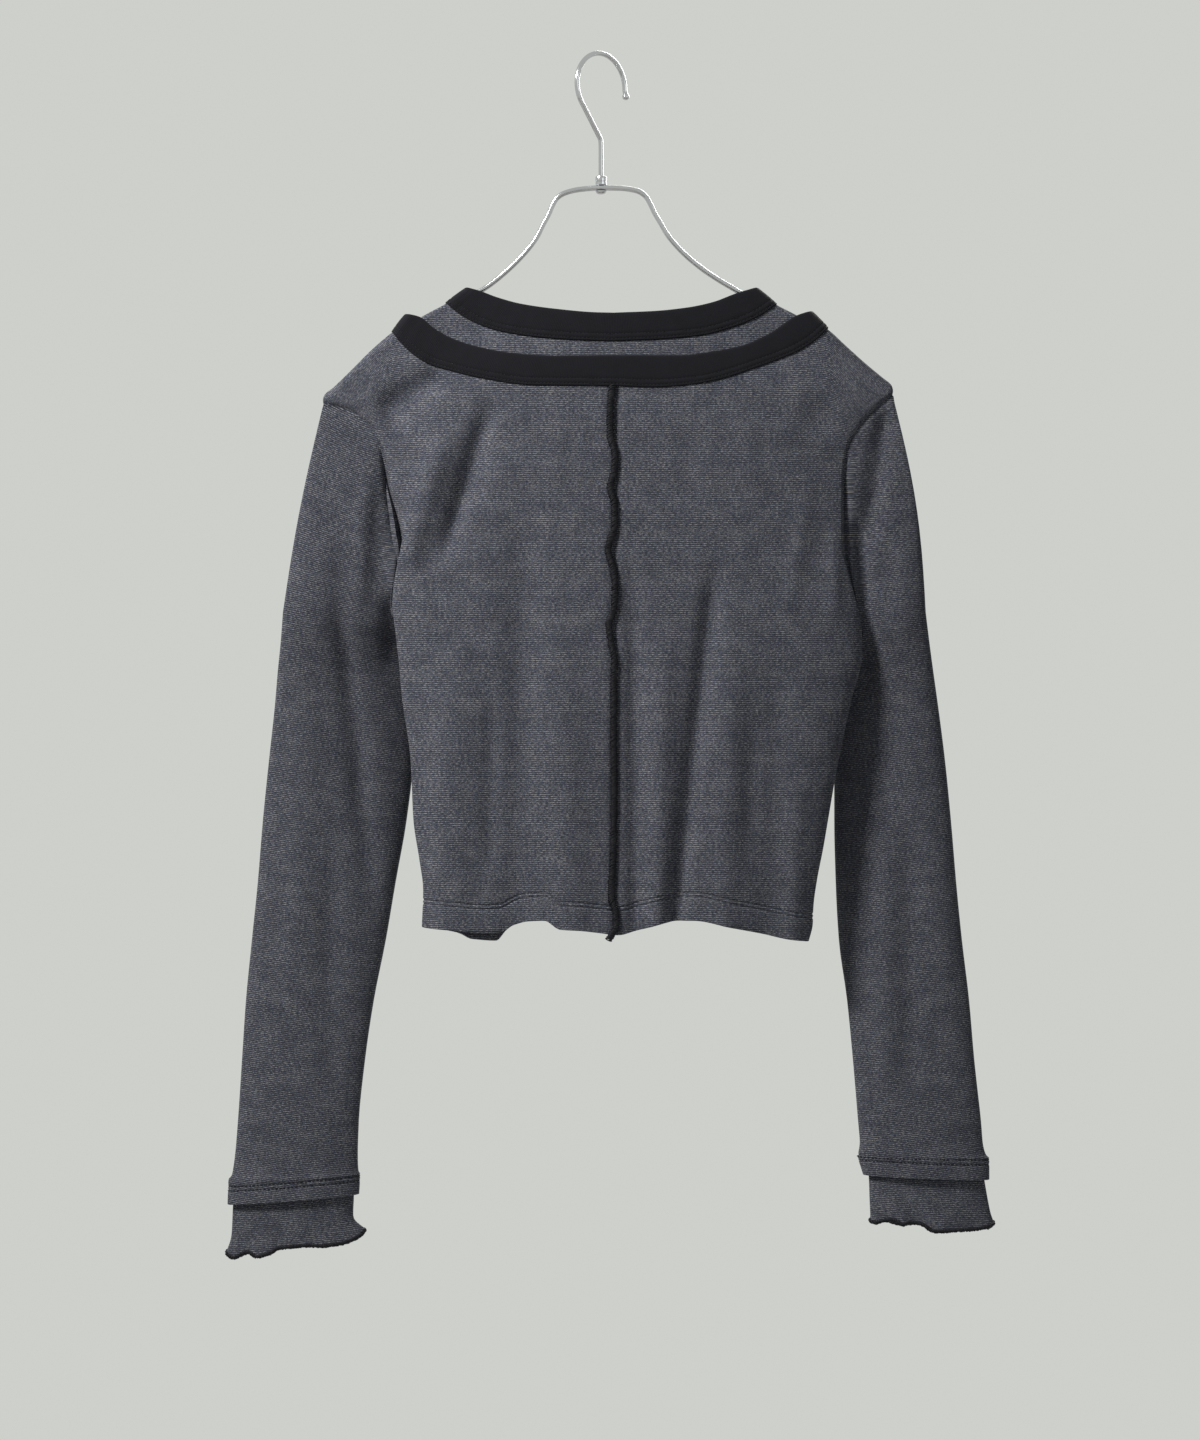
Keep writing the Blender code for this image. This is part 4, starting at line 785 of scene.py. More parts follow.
def half_depth(x, z, face, beneath=0.0):
    """Half the garment's depth at a point of its outline, for the face at -Y (-1) or +Y (1)."""
    side = np.where(x < CENTRE_X, -1, 1)
    edge = np.where(side < 0, edge_x(-1, z), edge_x(1, z))
    underarm = np.where(side < 0, ARMHOLE[-1]["z"][0], ARMHOLE[1]["z"][0])
    across = np.clip(np.abs(x - CENTRE_X) / np.abs(edge - CENTRE_X), 0, 1)
    opening = ease((z - underarm) / ARMHOLE_OPENS)
    at_edge = ARMHOLE_HALF * opening**0.6
    round_side = (1 - across**SIDE_ROUND) ** (1 / SIDE_ROUND)
    swell = (1 - opening) * round_side + opening * (1 - across**CHEST_ROUND)
    hanging = at_edge + (HANG_HALF[face] - at_edge) * swell - beneath
    drop = crest_z(x) - beneath - z
    top = 1 - np.clip(drop / (CREST_DROP - beneath), 0, 1)
    ridge = (CREST_HALF - beneath) * np.sqrt(1 - top * top) + HANG_SPREAD * ease(drop / HANG_REACH)
    hanging, ridge = np.maximum(hanging, 1e-6), np.maximum(ridge, 1e-6)
    return hanging * ridge / (hanging**4 + ridge**4) ** 0.25


def fold_height(x, z, folds):
    """The sum of the folds of a table at a point of the outline."""
    total = np.zeros(np.broadcast(x, z).shape)
    for x0, z0, x1, z1, height, width, fade_top, fade_low in zip(*folds.values()):
        length = math.hypot(x1 - x0, z1 - z0)
        ux, uz = (x1 - x0) / length, (z1 - z0) / length
        run = (x - x0) * ux + (z - z0) * uz
        off = (x - x0) * uz - (z - z0) * ux
        start = ease(run / fade_top)
        end = ease((length - run) / fade_low) if fade_low else 1
        total = total + height * np.exp(-((off / width) ** 2)) * start * end
    return total


def lap_lift(x, side, face):
    """The upper front rises over the lower one at the centre front."""
    if (side, face) != (1, 1):
        return 0
    return LAP_LIFT * ease((CENTRE_X + 40 - x) / 24)


FOLD_FADE = 7  # folds reach their full height where half the garment's depth is this
CREASE_START = 5  # and creases start where it is this


def cloth_y(x, z, side, face, beneath=0.0):
    """The y of a layer's outer face."""
    half = half_depth(x, z, face, beneath)
    # Both layers share the folds, and the creases fade towards the edges, where pieces meet.
    folds = fold_height(x, z, FOLDS[face]) * ease(half / FOLD_FADE)
    folds = folds + fold_height(x, z, CREASES[face]) * ease((half - CREASE_START) / FOLD_FADE)
    lift = lap_lift(x, side, face) if beneath == 0 else 0
    return face * np.maximum(half + folds + lift, 0)


def crest_normal(x):
    """The direction straight out of the shoulder's ridge."""
    step = 1.0
    rise = crest_z(x + step) - crest_z(x - step)
    return unit(np.stack([-rise, np.zeros_like(rise), np.full_like(rise, 2 * step)], axis=-1))


def cloth_normal(x, z, side, face, beneath=0.0):
    """The direction straight out of a layer's face, used by both pieces that meet along a neckline."""
    step = 0.5
    here = cloth_y(x, z, side, face, beneath)
    right, left = cloth_y(x + step, z, side, face, beneath), cloth_y(x - step, z, side, face, beneath)
    across = (right - left) / (2 * step)
    up = (here - cloth_y(x, z - step, side, face, beneath)) / step
    return unit(face * np.stack([-across, np.ones_like(across), -up], axis=-1))


def neckline(path, share, off, side, beneath):
    """Points of a neckline moved off it within the cloth, towards the opening when off is positive."""
    off = np.broadcast_to(off, np.shape(share))
    x, z = along(path, share)
    after, before = along(path, np.clip(share + 0.01, 0, 1)), along(path, np.clip(share - 0.01, 0, 1))
    run_x, run_z = after[0] - before[0], after[1] - before[1]
    length = np.hypot(run_x, run_z)
    x, z = x - side * off * run_z / length, z + side * off * run_x / length
    x[share == 1] = path["x"][-1] - side * off[share == 1]
    return x, np.where(share == 1, crest_z(x) - beneath, z)

# %% [markdown]
# ## Meshes of cloth
# A piece of cloth is a grid of points on its outer face. A second grid a wall further in gives it its thickness,
# and quads close the edges. Each corner also gets a UV, in metres on the cloth, which the stripes follow.

# %% Mesh helpers
def add_mesh(name, points, faces, finish, uv=None, sharp=50):
    """One closed mesh from points in millimetres and quads, facing out."""
    points = np.asarray(points, float) * MM
    faces = np.asarray(faces)
    volume = 0
    for second in (1, 2):
        a, b, c = points[faces[:, 0]], points[faces[:, second]], points[faces[:, second + 1]]
        volume += np.einsum("ij,ij->i", a, np.cross(b, c)).sum()
    if volume < 0:
        faces = faces[:, ::-1]
        uv = None if uv is None else uv[:, ::-1]
    mesh = bpy.data.meshes.new(name)
    mesh.from_pydata(points.tolist(), [], faces.tolist())
    if uv is not None:
        mesh.uv_layers.new(name="cloth").data.foreach_set("uv", np.ascontiguousarray(uv, np.float32).ravel())
    mesh.materials.append(finish)
    mesh.shade_smooth()
    mesh.set_sharp_from_angle(angle=math.radians(sharp))
    return add_object(name, mesh)


def close_ends(piece):
    """Caps the open ends of a tube or band."""
    shape = bmesh.new()
    shape.from_mesh(piece.data)
    bmesh.ops.holes_fill(shape, edges=[edge for edge in shape.edges if edge.is_boundary], sides=0)
    bmesh.ops.recalc_face_normals(shape, faces=shape.faces)
    shape.to_mesh(piece.data)
    shape.free()


def grid_cells(rows, columns, ring):
    """The four (row, column) corners of each cell of a grid; a ring's last column is not wrapped yet."""
    i, j = np.meshgrid(np.arange(rows - 1), np.arange(columns - (not ring)), indexing="ij")
    i, j = i.ravel(), j.ravel()
    return np.stack([np.stack(pair, -1) for pair in ((i, j), (i, j + 1), (i + 1, j + 1), (i + 1, j))], axis=1)


def tube(name, sections, finish, closed=False, uv=None, sharp=50):
    """A tube through rings of points; its ends are capped unless it closes into a loop."""
    count, sides = sections.shape[:2]
    cells = grid_cells(count + closed, sides, True)
    index = cells[..., 0] % count * sides + cells[..., 1] % sides
    uv = None if uv is None else uv[cells[..., 0], cells[..., 1]]
    piece = add_mesh(name, sections.reshape(-1, 3), index, finish, uv, sharp)
    if not closed:
        close_ends(piece)
    return piece


def settle(piece):
    """Turns a piece and its modifiers into one plain mesh."""
    result = bpy.data.meshes.new_from_object(piece.evaluated_get(bpy.context.evaluated_depsgraph_get()))
    piece.modifiers.clear()
    piece.data = result
    return result


def cloth_piece(name, outer, inner, uv, finish, ring=False):
    """A wall of cloth between two grids, closed round its edges."""
    rows, columns = outer.shape[:2]
    cells = grid_cells(rows, columns, ring)
    front = np.concatenate([cells, np.zeros_like(cells[..., :1])], axis=-1)
    behind = front[:, ::-1].copy()
    behind[..., 2] = 1
    edges = []
    k = np.arange(columns - (not ring))
    m = np.arange(rows - 1)
    lines = [(0 * k, k + 1, 0 * k, k), (0 * k + rows - 1, k, 0 * k + rows - 1, k + 1)]
    if not ring:
        lines += [(m, 0 * m, m + 1, 0 * m), (m + 1, 0 * m + columns - 1, m, 0 * m + columns - 1)]
    for row_a, column_a, row_b, column_b in lines:
        a, b = np.stack([row_a, column_a], -1), np.stack([row_b, column_b], -1)
        ends = [np.append(p, np.full((len(p), 1), back), axis=1) for p, back in ((a, 0), (b, 0), (b, 1), (a, 1))]
        edges.append(np.stack(ends, axis=1))
    faces = np.concatenate([front, behind, *edges])
    index = faces[..., 0] * columns + faces[..., 1] % columns + faces[..., 2] * rows * columns
    points = np.concatenate([outer.reshape(-1, 3), inner.reshape(-1, 3)])
    return add_mesh(name, points, index, finish, uv[faces[..., 0], faces[..., 1]])


def grid_normals(grid, face=0):
    """Unit normals of a grid of points: towards the back (-1) or the front (1), or out of a ring (0)."""
    if face:
        across = np.gradient(grid, axis=1)
    else:
        wide = np.concatenate([grid[:, -1:], grid, grid[:, :1]], axis=1)
        across = wide[:, 2:] - wide[:, :-2]
    normals = unit(np.cross(across, np.gradient(grid, axis=0)))
    outward = normals[..., 1] * face if face else (grid - grid.mean(axis=1, keepdims=True)) * normals
    return normals * np.sign(outward.sum())


def wrap(values):
    """A ring's columns with the first one again at the end."""
    return np.concatenate([values, values[:, :1]], axis=1)


def add_up(runs):
    """How far along its row each point lies, from the distances between neighbours."""
    return np.concatenate([np.zeros((len(runs), 1)), np.cumsum(runs, axis=1)], axis=1)


def distance_in(grid, from_end):
    """How far along its row each point lies from the row's first or last point."""
    runs = np.linalg.norm(np.diff(grid, axis=1), axis=-1)
    return add_up(runs[:, ::-1])[:, ::-1] if from_end else add_up(runs)


CUT_SPARE = 1.002  # a cut is stated this much larger than its grid


def flat_size(grid, ring=False):
    """The widest row and the longest column of a piece, in metres: the cloth it was cut from."""
    wide = wrap(grid) if ring else grid
    width = np.linalg.norm(np.diff(wide, axis=1), axis=-1).sum(axis=1).max()
    length = np.linalg.norm(np.diff(wide, axis=0), axis=-1).sum(axis=0).max()
    a, b, c, d = wide[:-1, :-1], wide[:-1, 1:], wide[1:, 1:], wide[1:, :-1]
    area = np.linalg.norm(np.cross(c - a, d - b), axis=-1).sum() / 2
    return (width * MM * CUT_SPARE, length * MM * CUT_SPARE), area * MM * MM


sheets = []


def add_sheet(name, outer, inner, uv, finish, grid, ring=False):
    """Sews a piece of cloth into the garment, and notes the size that its grid gives."""
    piece = cloth_piece(name + "_cloth", outer, inner, uv, finish, ring)
    flat, area = flat_size(grid, ring)
    sheets.append((piece, name, flat, area))
    print(name, len(piece.data.polygons), "faces, flat", tuple(round(v, 3) for v in flat))

# %% [markdown]
# ## The four panels of the body
# The back is cut in two halves that meet in a seam under the trim, and the front in two halves that lap. All four
# are grids between their centre line, side, hem and neckline. Close to a seam the cloth dips, because the seam
# pulls it in, and that gives the fine dark line that a seam has. Beside the underarm it sinks into a deep shade.
# The hem is turned up and twice as thick.

# %% Panels
SEAM_DIP = 1.3  # how deep the cloth sinks in a seam
SEAM_REACH = 1.5  # and how far from it
# How deep the cloth sinks beside the underarm, and how far from the seam, on the body and on the sleeve.
ARMHOLE_DIP = {
    -1: table(
        "z body body_reach sleeve sleeve_reach",
        (-430, 0, 0, 0, 0), (-398, 4, 4, 7, 9), (-350, 6, 4, 7, 9), (-310, 4, 4, 4, 4), (-278, 0, 0, 0, 0),
    ),
    1: table(
        "z body body_reach sleeve sleeve_reach",
        (-440, 0, 0, 0, 0), (-400, 0.8, 1, 5, 7), (-370, 0.8, 1, 4, 7), (-330, 0.4, 1, 3, 6),
        (-285, 0, 0, 0, 0),
    ),
}
UNDER_BAND = 1.6  # the panel's edge runs this far up inside the neck band
UNDER_SHORT = 0.3  # and at the shoulder, over the last share of the neckline, stops this far below its foot
UNDER_FADE = 0.12
HEM_STITCHES = (17.2, 20.0)  # heights of the hem's two stitched rows
HEM_OVER = 1  # the turned-up cloth ends this far above the upper one
STITCH_GROOVE = 0.7  # how deep they sink into the cloth
STITCH_GROOVE_WIDE = 0.75
FOLD_ROUND = 0.3  # the share of the hem's wall by which its fold is rounded
ROW_STEPS = 5
COLUMN_STEPS = 4
ARM_STEPS = 4
# Shares of the side seam: the row at the hem's fold, the rows at its stitches, and the stretch they fill.
FOLD_ROW = 0.0022
STITCH_ROWS = np.linspace(0.064, 0.094, 17)
STITCH_STRETCH = (0.0635, 0.096)


def panel_outline(side, face):
    """The four edges of a quarter of the body, as (x, z) points: centre, edge, hem and top."""
    centre_x = CENTRE_X if face < 0 else CENTRE_X - side * LAP
    seam, hole = SIDE_SEAM[side], ARMHOLE[side]
    hem_share = finer(COLUMNS[face]["hem"], COLUMN_STEPS)
    top_share = finer(COLUMNS[face]["top"], COLUMN_STEPS)
    hem_x = centre_x + hem_share * (seam["x"][0] - centre_x)
    bottom = np.stack([hem_x, hem_z(hem_x, face)], axis=-1)
    low_z = bottom[-1, 1] + seam_rows() * (hole["z"][0] - bottom[-1, 1])
    low_x = smooth(low_z, seam["z"], seam["x"])
    high_x, high_z = along(hole, finer(ARMHOLE_ROWS, ARM_STEPS))
    edge = np.stack([np.concatenate([low_x, high_x]), np.concatenate([low_z, high_z])], axis=-1)
    foot = OUTER_NECK[side, face][0]
    on_neck = top_share <= 1
    neck_x, neck_z = neckline(foot, np.clip(top_share, 0, 1), under_band(top_share), side, 0)
    neck_x = neck_x + (centre_x - neck_x[0]) * np.clip(1 - top_share / LAP_FADE, 0, 1)
    corner_x, tip_x = neck_x[on_neck][-1], hole["x"][-1]
    shoulder_x = corner_x + np.clip(top_share - 1, 0, 1) * (tip_x - corner_x)
    top_x = np.where(on_neck, neck_x, shoulder_x)
    top_z = np.where(on_neck, neck_z, crest_z(shoulder_x))
    top = np.stack([top_x, top_z], axis=-1)
    rise = bottom[0, 1] + panel_rows() * (top[0, 1] - bottom[0, 1])
    centre = np.stack([np.full(len(rise), centre_x), rise], axis=-1)
    return centre, edge, bottom, top, top_share


def under_band(share):
    """How far up inside the band the cloth's edge runs; at the shoulder it stops short of the band's end."""
    return (UNDER_BAND + UNDER_SHORT) * ease((1 - share) / UNDER_FADE) - UNDER_SHORT


def seam_rows():
    """Rows up the side seam, closer at the hem's rounded fold and where it is stitched."""
    rows = finer(np.append(SEAM_ROWS, 1), ROW_STEPS)[:-1]
    rows = rows[(rows < STITCH_STRETCH[0]) | (rows > STITCH_STRETCH[1])]
    return np.sort(np.concatenate([rows, [FOLD_ROW], STITCH_ROWS]))


def panel_rows():
    """The height of each row as a share of the panel's: to the underarm, then on to the shoulder."""
    low = seam_rows() * UNDERARM_AT
    high = UNDERARM_AT + finer(ARMHOLE_ROWS, ARM_STEPS) * (1 - UNDERARM_AT)
    return np.concatenate([low, high])


def panel_grid(side, face):
    """The outer face of a quarter of the body: rows from the hem up, columns from the centre out."""
    centre, edge, bottom, top, share = panel_outline(side, face)
    v = panel_rows()[:, None, None]
    f = (np.where(share < 1, share**EDGE_PULL, share) / 2)[None, :, None]
    flat = (
        (1 - f) * centre[:, None] + f * edge[:, None] + (1 - v) * bottom[None] + v * top[None]
        - (1 - f) * (1 - v) * bottom[0] - f * (1 - v) * bottom[-1]
        - (1 - f) * v * top[0] - f * v * top[-1]
    )
    x, z = flat[..., 0], flat[..., 1]
    return np.stack([x, cloth_y(x, z, side, face), z], axis=-1), share


STRIPE_NECK = (0.25, 60)  # inside the neck's corner the stripes keep this share of the slope, over this width
STRIPE_LEVEL = (5, 70)  # they turn level from this far below the shoulder's ridge on, over this height


def stripe_lie(x, z, side):
    """The UV of the body's cloth: the rows are level, and near the shoulder they follow its slope."""
    corner = OUTER_NECK[side, -1][0]["x"][-1]
    slope_drop = crest_z(x) - crest_z(np.full_like(x, corner))
    kept, width = STRIPE_NECK
    on_neck = kept * slope_drop * ease(1 - side * (corner - x) / width)
    beyond = np.where(side * (x - corner) > 0, slope_drop, on_neck)
    start, height = STRIPE_LEVEL
    near = 1 - ease((crest_z(x) - z - start) / height)
    return np.stack([x, z - near * beyond], axis=-1) * MM


def panel_normals(grid, side, face, share):
    """Outward normals; both pieces of a seam share the seam's own direction."""
    normals = grid_normals(grid, face)
    underarm = len(seam_rows())
    normals[: underarm + 1, -1] = (side, 0, 0)
    top_x, top_z = grid[-1, :, 0], grid[-1, :, 2]
    neck = cloth_normal(top_x, top_z, side, face)
    normals[-1] = np.where((share >= 1)[:, None], crest_normal(top_x), neck)
    if face < 0:
        normals[:, 0] = (0, -1, 0)
    return normals


def armhole_dip(side, z, cloth):
    """How deep the cloth sinks beside an armhole at these heights, and how far from the seam."""
    dips = ARMHOLE_DIP[side]
    return (smooth(z, dips["z"], dips[key]) for key in (cloth, cloth + "_reach"))


def two_faces(grid, normals, sink, wall, above, stitches, hem):
    """The cloth's outer and inner face, with the grooves of its hem's stitches; `hem` is the row of its fold."""
    for height in stitches:
        sink = sink + STITCH_GROOVE * np.exp(-(((above - height) / STITCH_GROOVE_WIDE) ** 2))
    outer = grid - normals * sink[..., None]
    inner = grid - normals * (sink + wall)[..., None]
    outer[hem] -= normals[hem] * HEM_WALL * FOLD_ROUND
    inner[hem] += normals[hem] * HEM_WALL * FOLD_ROUND
    return outer, inner


def add_panel(name, side, face):
    grid, share = panel_grid(side, face)
    normals = panel_normals(grid, side, face, share)
    # The seams dip, at the side and the armhole, and at the centre back.
    depth, reach = armhole_dip(side, grid[:, -1:, 2], "body")
    dip = (1 + depth / SEAM_DIP) * np.exp(-((distance_in(grid, True) / (SEAM_REACH + reach)) ** 2))
    if face < 0:
        dip = np.maximum(dip, np.exp(-((distance_in(grid, False) / SEAM_REACH) ** 2)))
    above = grid[..., 2] - hem_z(grid[..., 0], face)
    wall = np.where(above < HEM_STITCHES[1] + HEM_OVER, HEM_WALL, JERSEY_WALL)
    outer, inner = two_faces(grid, normals, SEAM_DIP * dip, wall, above, HEM_STITCHES, 0)
    add_sheet(name, outer, inner, stripe_lie(grid[..., 0], grid[..., 2], side), striped_jersey, grid)
    return outer, normals


QUARTERS = {(side, face): f"{part}_{word}" for side, word in SIDES for face, part in FACES}
body = {(side, face): add_panel(name, side, face) for (side, face), name in QUARTERS.items()}

# %% [markdown]
# ## Sleeves
# A sleeve is a tube that starts on the armhole and hangs down flat. Its first ring is the panels' own edge, so
# nothing gapes; the rings after it pass from the armhole to flat round sections. The jersey's rows run round
# the arm, so the stripes slope where the sleeve swings in from the shoulder and are nearly level at the hem.

# %% Sleeves
RING_STEPS = 4
HEM_RING_STEPS = 14
HEM_FOLD_RING = 0.02  # the ring before the hem's fold stands this share of a section before it
SLEEVE_WALL_LESS = 0.2  # the cloth is this much thinner than the sections' wall
SECTION_ROUND = 0.85  # power of a section's round sides; 1 is an ellipse
FOLD_RINGS = 4  # rings below the armhole over which the sleeve's folds start
SLEEVE_STITCHES = {-1: (10.2, 13.4), 1: (11.2, 14.7)}  # heights of the two rows above the hem
FAN = (0, 0.008, 0.02, 0.045, 0.08, 0.12, 0.2, 0.28, 0.36, 0.45, 0.54, 0.62, 0.71, 0.8, 0.9)
STRIPE_SLOPE = {
    -1: table("z slope", (-900, -0.12), (-450, -0.14), (-330, -0.36), (-240, -0.47)),
    1: table("z slope", (-900, 0.12), (-450, 0.12), (-330, 0.06), (-240, 0.0)),
}


def section_points(row, count):
    """A flat round section from its outer edge, behind, to its inner edge and back in front."""
    angles = angles_round(count)
    outer = np.array([row["x_out"], row["y_out"], row["z_out"]])
    inner = np.array([row["x_in"], row["y_in"], row["z_in"]])
    across = ((1 - np.cos(angles)) / 2)[:, None]
    points = outer + across * (inner - outer)
    points[:, 1] -= row["half"] * np.sign(np.sin(angles)) * np.abs(np.sin(angles)) ** SECTION_ROUND
    return points


def table_row(source, i):
    return {name: column[i] for name, column in source.items()}


def armhole_ring(side):
    """The panels' edges joined into a ring: from the shoulder down the back, and up the front."""
    first = len(seam_rows())
    back, front = (body[side, face][0][first:, -1] for face in (-1, 1))
    back_n, front_n = (body[side, face][1][first:, -1] for face in (-1, 1))
    points = np.concatenate([[back[-1]], back[-2:0:-1], [(back[0] + front[0]) / 2], front[1:-1]])
    directions = np.concatenate([[back_n[-1]], back_n[-2:0:-1], [back_n[0]], front_n[1:-1]])
    return points, unit(directions)


def sleeve_grid(side):
    first, seam_normals = armhole_ring(side)
    count = len(first)
    angles = angles_round(count)
    outerness = ((1 + np.cos(angles)) / 2)[:, None] ** 2
    innerness = 1 - outerness**0.5
    sections = SLEEVE[side]
    # The hem's last stretch has more rings, for the stitches' grooves and the rounded fold.
    last = len(sections["half"]) - 1
    hem_rings = last - 1 + finer([0, 1], HEM_RING_STEPS)
    at = np.concatenate([finer(np.arange(last), RING_STEPS)[:-1], hem_rings, [last - HEM_FOLD_RING]])
    at = np.sort(at)
    fine = {key: smooth(at, np.arange(len(column)), column) for key, column in sections.items()}
    rings = [section_points(table_row(fine, i), count) for i in range(len(at))]
    fan = []
    for share in FAN[1:]:
        # Near the underarm the cloth runs outwards before it falls.
        shares = np.repeat(np.full((count, 1), share), 3, axis=1)
        shares[:, :1] += innerness * (share**SLEEVE_PIT_LEAD - share)
        bulge = side * (SLEEVE_CAP_BULGE[side] * outerness + SLEEVE_PIT_BULGE * innerness)
        fan.append(first + shares * (rings[0] - first) + bulge * (math.sin(math.pi * share), 0, 0))
    grid = np.array([first] + fan + rings)
    for face in (-1, 1):
        here = np.clip(-face * np.sin(angles), 0, 1) ** 0.5
        height = fold_height(grid[..., 0], grid[..., 2], SLEEVE_FOLDS[side, face])
        height = height + fold_height(grid[..., 0], grid[..., 2], SLEEVE_CREASES[side, face])
        start = ease(np.arange(len(grid)) / FOLD_RINGS)[:, None]
        grid[..., 1] += face * height * here * start
    normals = grid_normals(grid)
    section = np.stack([side * np.cos(angles) / SLEEVE_WIDE, -np.sin(angles) / SLEEVE_DEEP], axis=-1)
    section = np.concatenate([section, np.zeros((count, 1))], axis=1)
    for ring, share in enumerate(FAN):
        weight = (1 - share) * ease((innerness - 0.6) / 0.35)
        normals[ring] = unit((1 - weight) * normals[ring] + weight * unit(section))
    shared = ease(2 * np.abs(np.cos(angles / 2))[:, None] - 0.4)
    normals[0] = unit(shared * seam_normals + (1 - shared) * normals[0])
    wall = np.concatenate([np.full(len(FAN), JERSEY_WALL), fine["wall"] - SLEEVE_WALL_LESS])
    return grid, normals, wall


def sleeve_lie(grid, side):
    """The UV of a sleeve: level round the arm, and along it with the stripes' slope taken off."""
    joined = wrap(grid)
    u = add_up(np.linalg.norm(np.diff(joined, axis=1)[..., :2], axis=-1))
    x, z = joined[..., 0], joined[..., 2]
    middle = x.mean(axis=1, keepdims=True)
    slope = smooth(z, STRIPE_SLOPE[side]["z"], STRIPE_SLOPE[side]["slope"])
    return np.stack([u, z - slope * (x - middle)], axis=-1) * MM


def add_sleeve(name, side):
    grid, normals, wall = sleeve_grid(side)
    near = len(FAN)
    away = np.cumsum(np.linalg.norm(np.diff(grid[:near], axis=0), axis=-1), axis=0)
    depth, reach = armhole_dip(side, grid[0, :, 2], "sleeve")
    behind = np.abs(np.sin(angles_round(grid.shape[1]))) ** 0.5
    sink = np.zeros(grid.shape[:2])
    sink[1:near] = (SEAM_DIP + depth * behind) * np.exp(-((away / (SEAM_REACH + reach)) ** 2))
    above = grid[..., 2] - grid[-1, :, 2]
    outer, inner = two_faces(grid, normals, sink, wall[:, None], above, SLEEVE_STITCHES[side], -1)
    piece_grid = grid[1:]  # the first ring is the panels' edge
    # The sleeve's jersey carries a tenth of painted shade.
    add_sheet(name, outer, inner, sleeve_lie(grid, side), sleeve_jersey_with_painted_shade, piece_grid, ring=True)
    return outer, normals


sleeves = {side: add_sleeve(f"sleeve_{word}", side) for side, word in SIDES}

# %% [markdown]
# ## Under-cuffs with a curly edge
# Below each sleeve hem shows a second, narrower sleeve end, as if a shirt were worn under the cardigan. Its edge
# was stretched while it was overlocked, so it curls like a lettuce leaf. The waves are drawn as a line of
# heights round the cuff, and they fade out upwards.

# %% Under-cuffs
CUFF_COUNT = 120
CUFF_STEPS = 6
CURL_FADE = 1.4  # power by which the curls fade upwards
CUFF_ROW_SHIFT = 3  # the stripes start this much higher than on the sleeve
# Where the edge stands out and hangs low: share of the way round from the outer edge over the back.
CUFF_CURL = {
    -1: table(
        "share down out",
        (0, -2.6, 0.4), (0.04, -0.4, 1.4), (0.085, 2.3, 1.6), (0.124, -0.4, -1.2), (0.166, 3.7, 1.8),
        (0.198, 2.3, 0.6), (0.211, 0.1, -0.8), (0.241, 0.3, 0.2), (0.283, 1.4, -0.3), (0.328, 3.7, 0.5),
        (0.38, 4.2, 0.2), (0.425, 2.5, 1.0), (0.481, -0.8, 1.8), (0.5, -2.6, 2.6), (0.54, 0.6, 0.8),
        (0.59, 2.6, -1.0), (0.64, 0.4, 1.6), (0.69, 2.8, -0.9), (0.75, 0.6, 1.5), (0.81, 2.4, -1.0),
        (0.87, 0.0, 1.7), (0.93, 2.0, -0.8), (1, -2.6, 0.4),
    ),
    1: table(
        "share down out",
        (0, -3.6, 0.6), (0.062, -1.9, 0.8), (0.111, 0.1, 0.2), (0.177, 1.5, 0.0), (0.2505, 2.9, 0.8),
        (0.264, 1.0, 1.2), (0.274, -1.2, 0.6), (0.292, -2.3, -0.4), (0.314, -2.6, -0.9),
        (0.334, -0.9, 1.6), (0.346, -2.6, 0.8), (0.362, -3.5, -0.8), (0.4, -3.0, -0.4),
        (0.424, -1.6, 1.4), (0.46, -1.4, 1.8), (0.5, -2.4, 1.2), (0.55, 0.4, -0.8), (0.61, -1.6, 1.5),
        (0.67, 1.2, -0.9), (0.73, -0.8, 1.6), (0.8, 1.4, -0.9), (0.87, -1.0, 1.5), (0.94, 0.8, -0.6),
        (1, -3.6, 0.6),
    ),
}
cuff_ends = {}


def add_cuff(name, side):
    sections, curl = CUFF[side], CUFF_CURL[side]
    at = finer(np.arange(len(sections["half"])), CUFF_STEPS)
    fine = {key: smooth(at, np.arange(len(column)), column) for key, column in sections.items()}
    share = np.arange(CUFF_COUNT) / CUFF_COUNT
    down, out = (smooth(share, curl["share"], curl[key])[:, None] for key in ("down", "out"))
    rings = []
    for i in range(len(at)):
        row = table_row(fine, i)
        ring = section_points(row, CUFF_COUNT)
        away = unit((ring - ring.mean(axis=0)) * (1, 4, 0))
        fade = row["wave"] ** CURL_FADE
        rings.append(ring + fade * (out * away - down * (0, 0, 1.0)))
    grid = np.array(rings)
    normals = grid_normals(grid)
    joined = wrap(grid)
    u = distance_in(joined, False)
    slope = (sections["z_in"][1] - sections["z_out"][1]) / (sections["x_in"][1] - sections["x_out"][1])
    v = joined[..., 2] - slope * (joined[..., 0] - joined[..., 0].mean(axis=1, keepdims=True)) + CUFF_ROW_SHIFT
    # The under-cuff shares the sleeves' jersey, with its tenth of painted shade.
    add_sheet(name, grid, grid - normals * JERSEY_WALL, np.stack([u, v], -1) * MM, sleeve_jersey_with_painted_shade, grid, ring=True)
    cuff_ends[side] = grid[-1] - normals[-1] * JERSEY_WALL / 2


for side, word in SIDES:
    add_cuff(f"cuff_{word}", side)

# %% [markdown]
# ## Neck bands
# Each neckline is finished with a strip of black rib, folded over the raw edge and stitched down with two rows.
# The folded edge is soft and round, and the stitches pull two shallow grooves and small puckers into the band.
# The band is a cord with a flat section, carried round the neck from one front edge to the other.

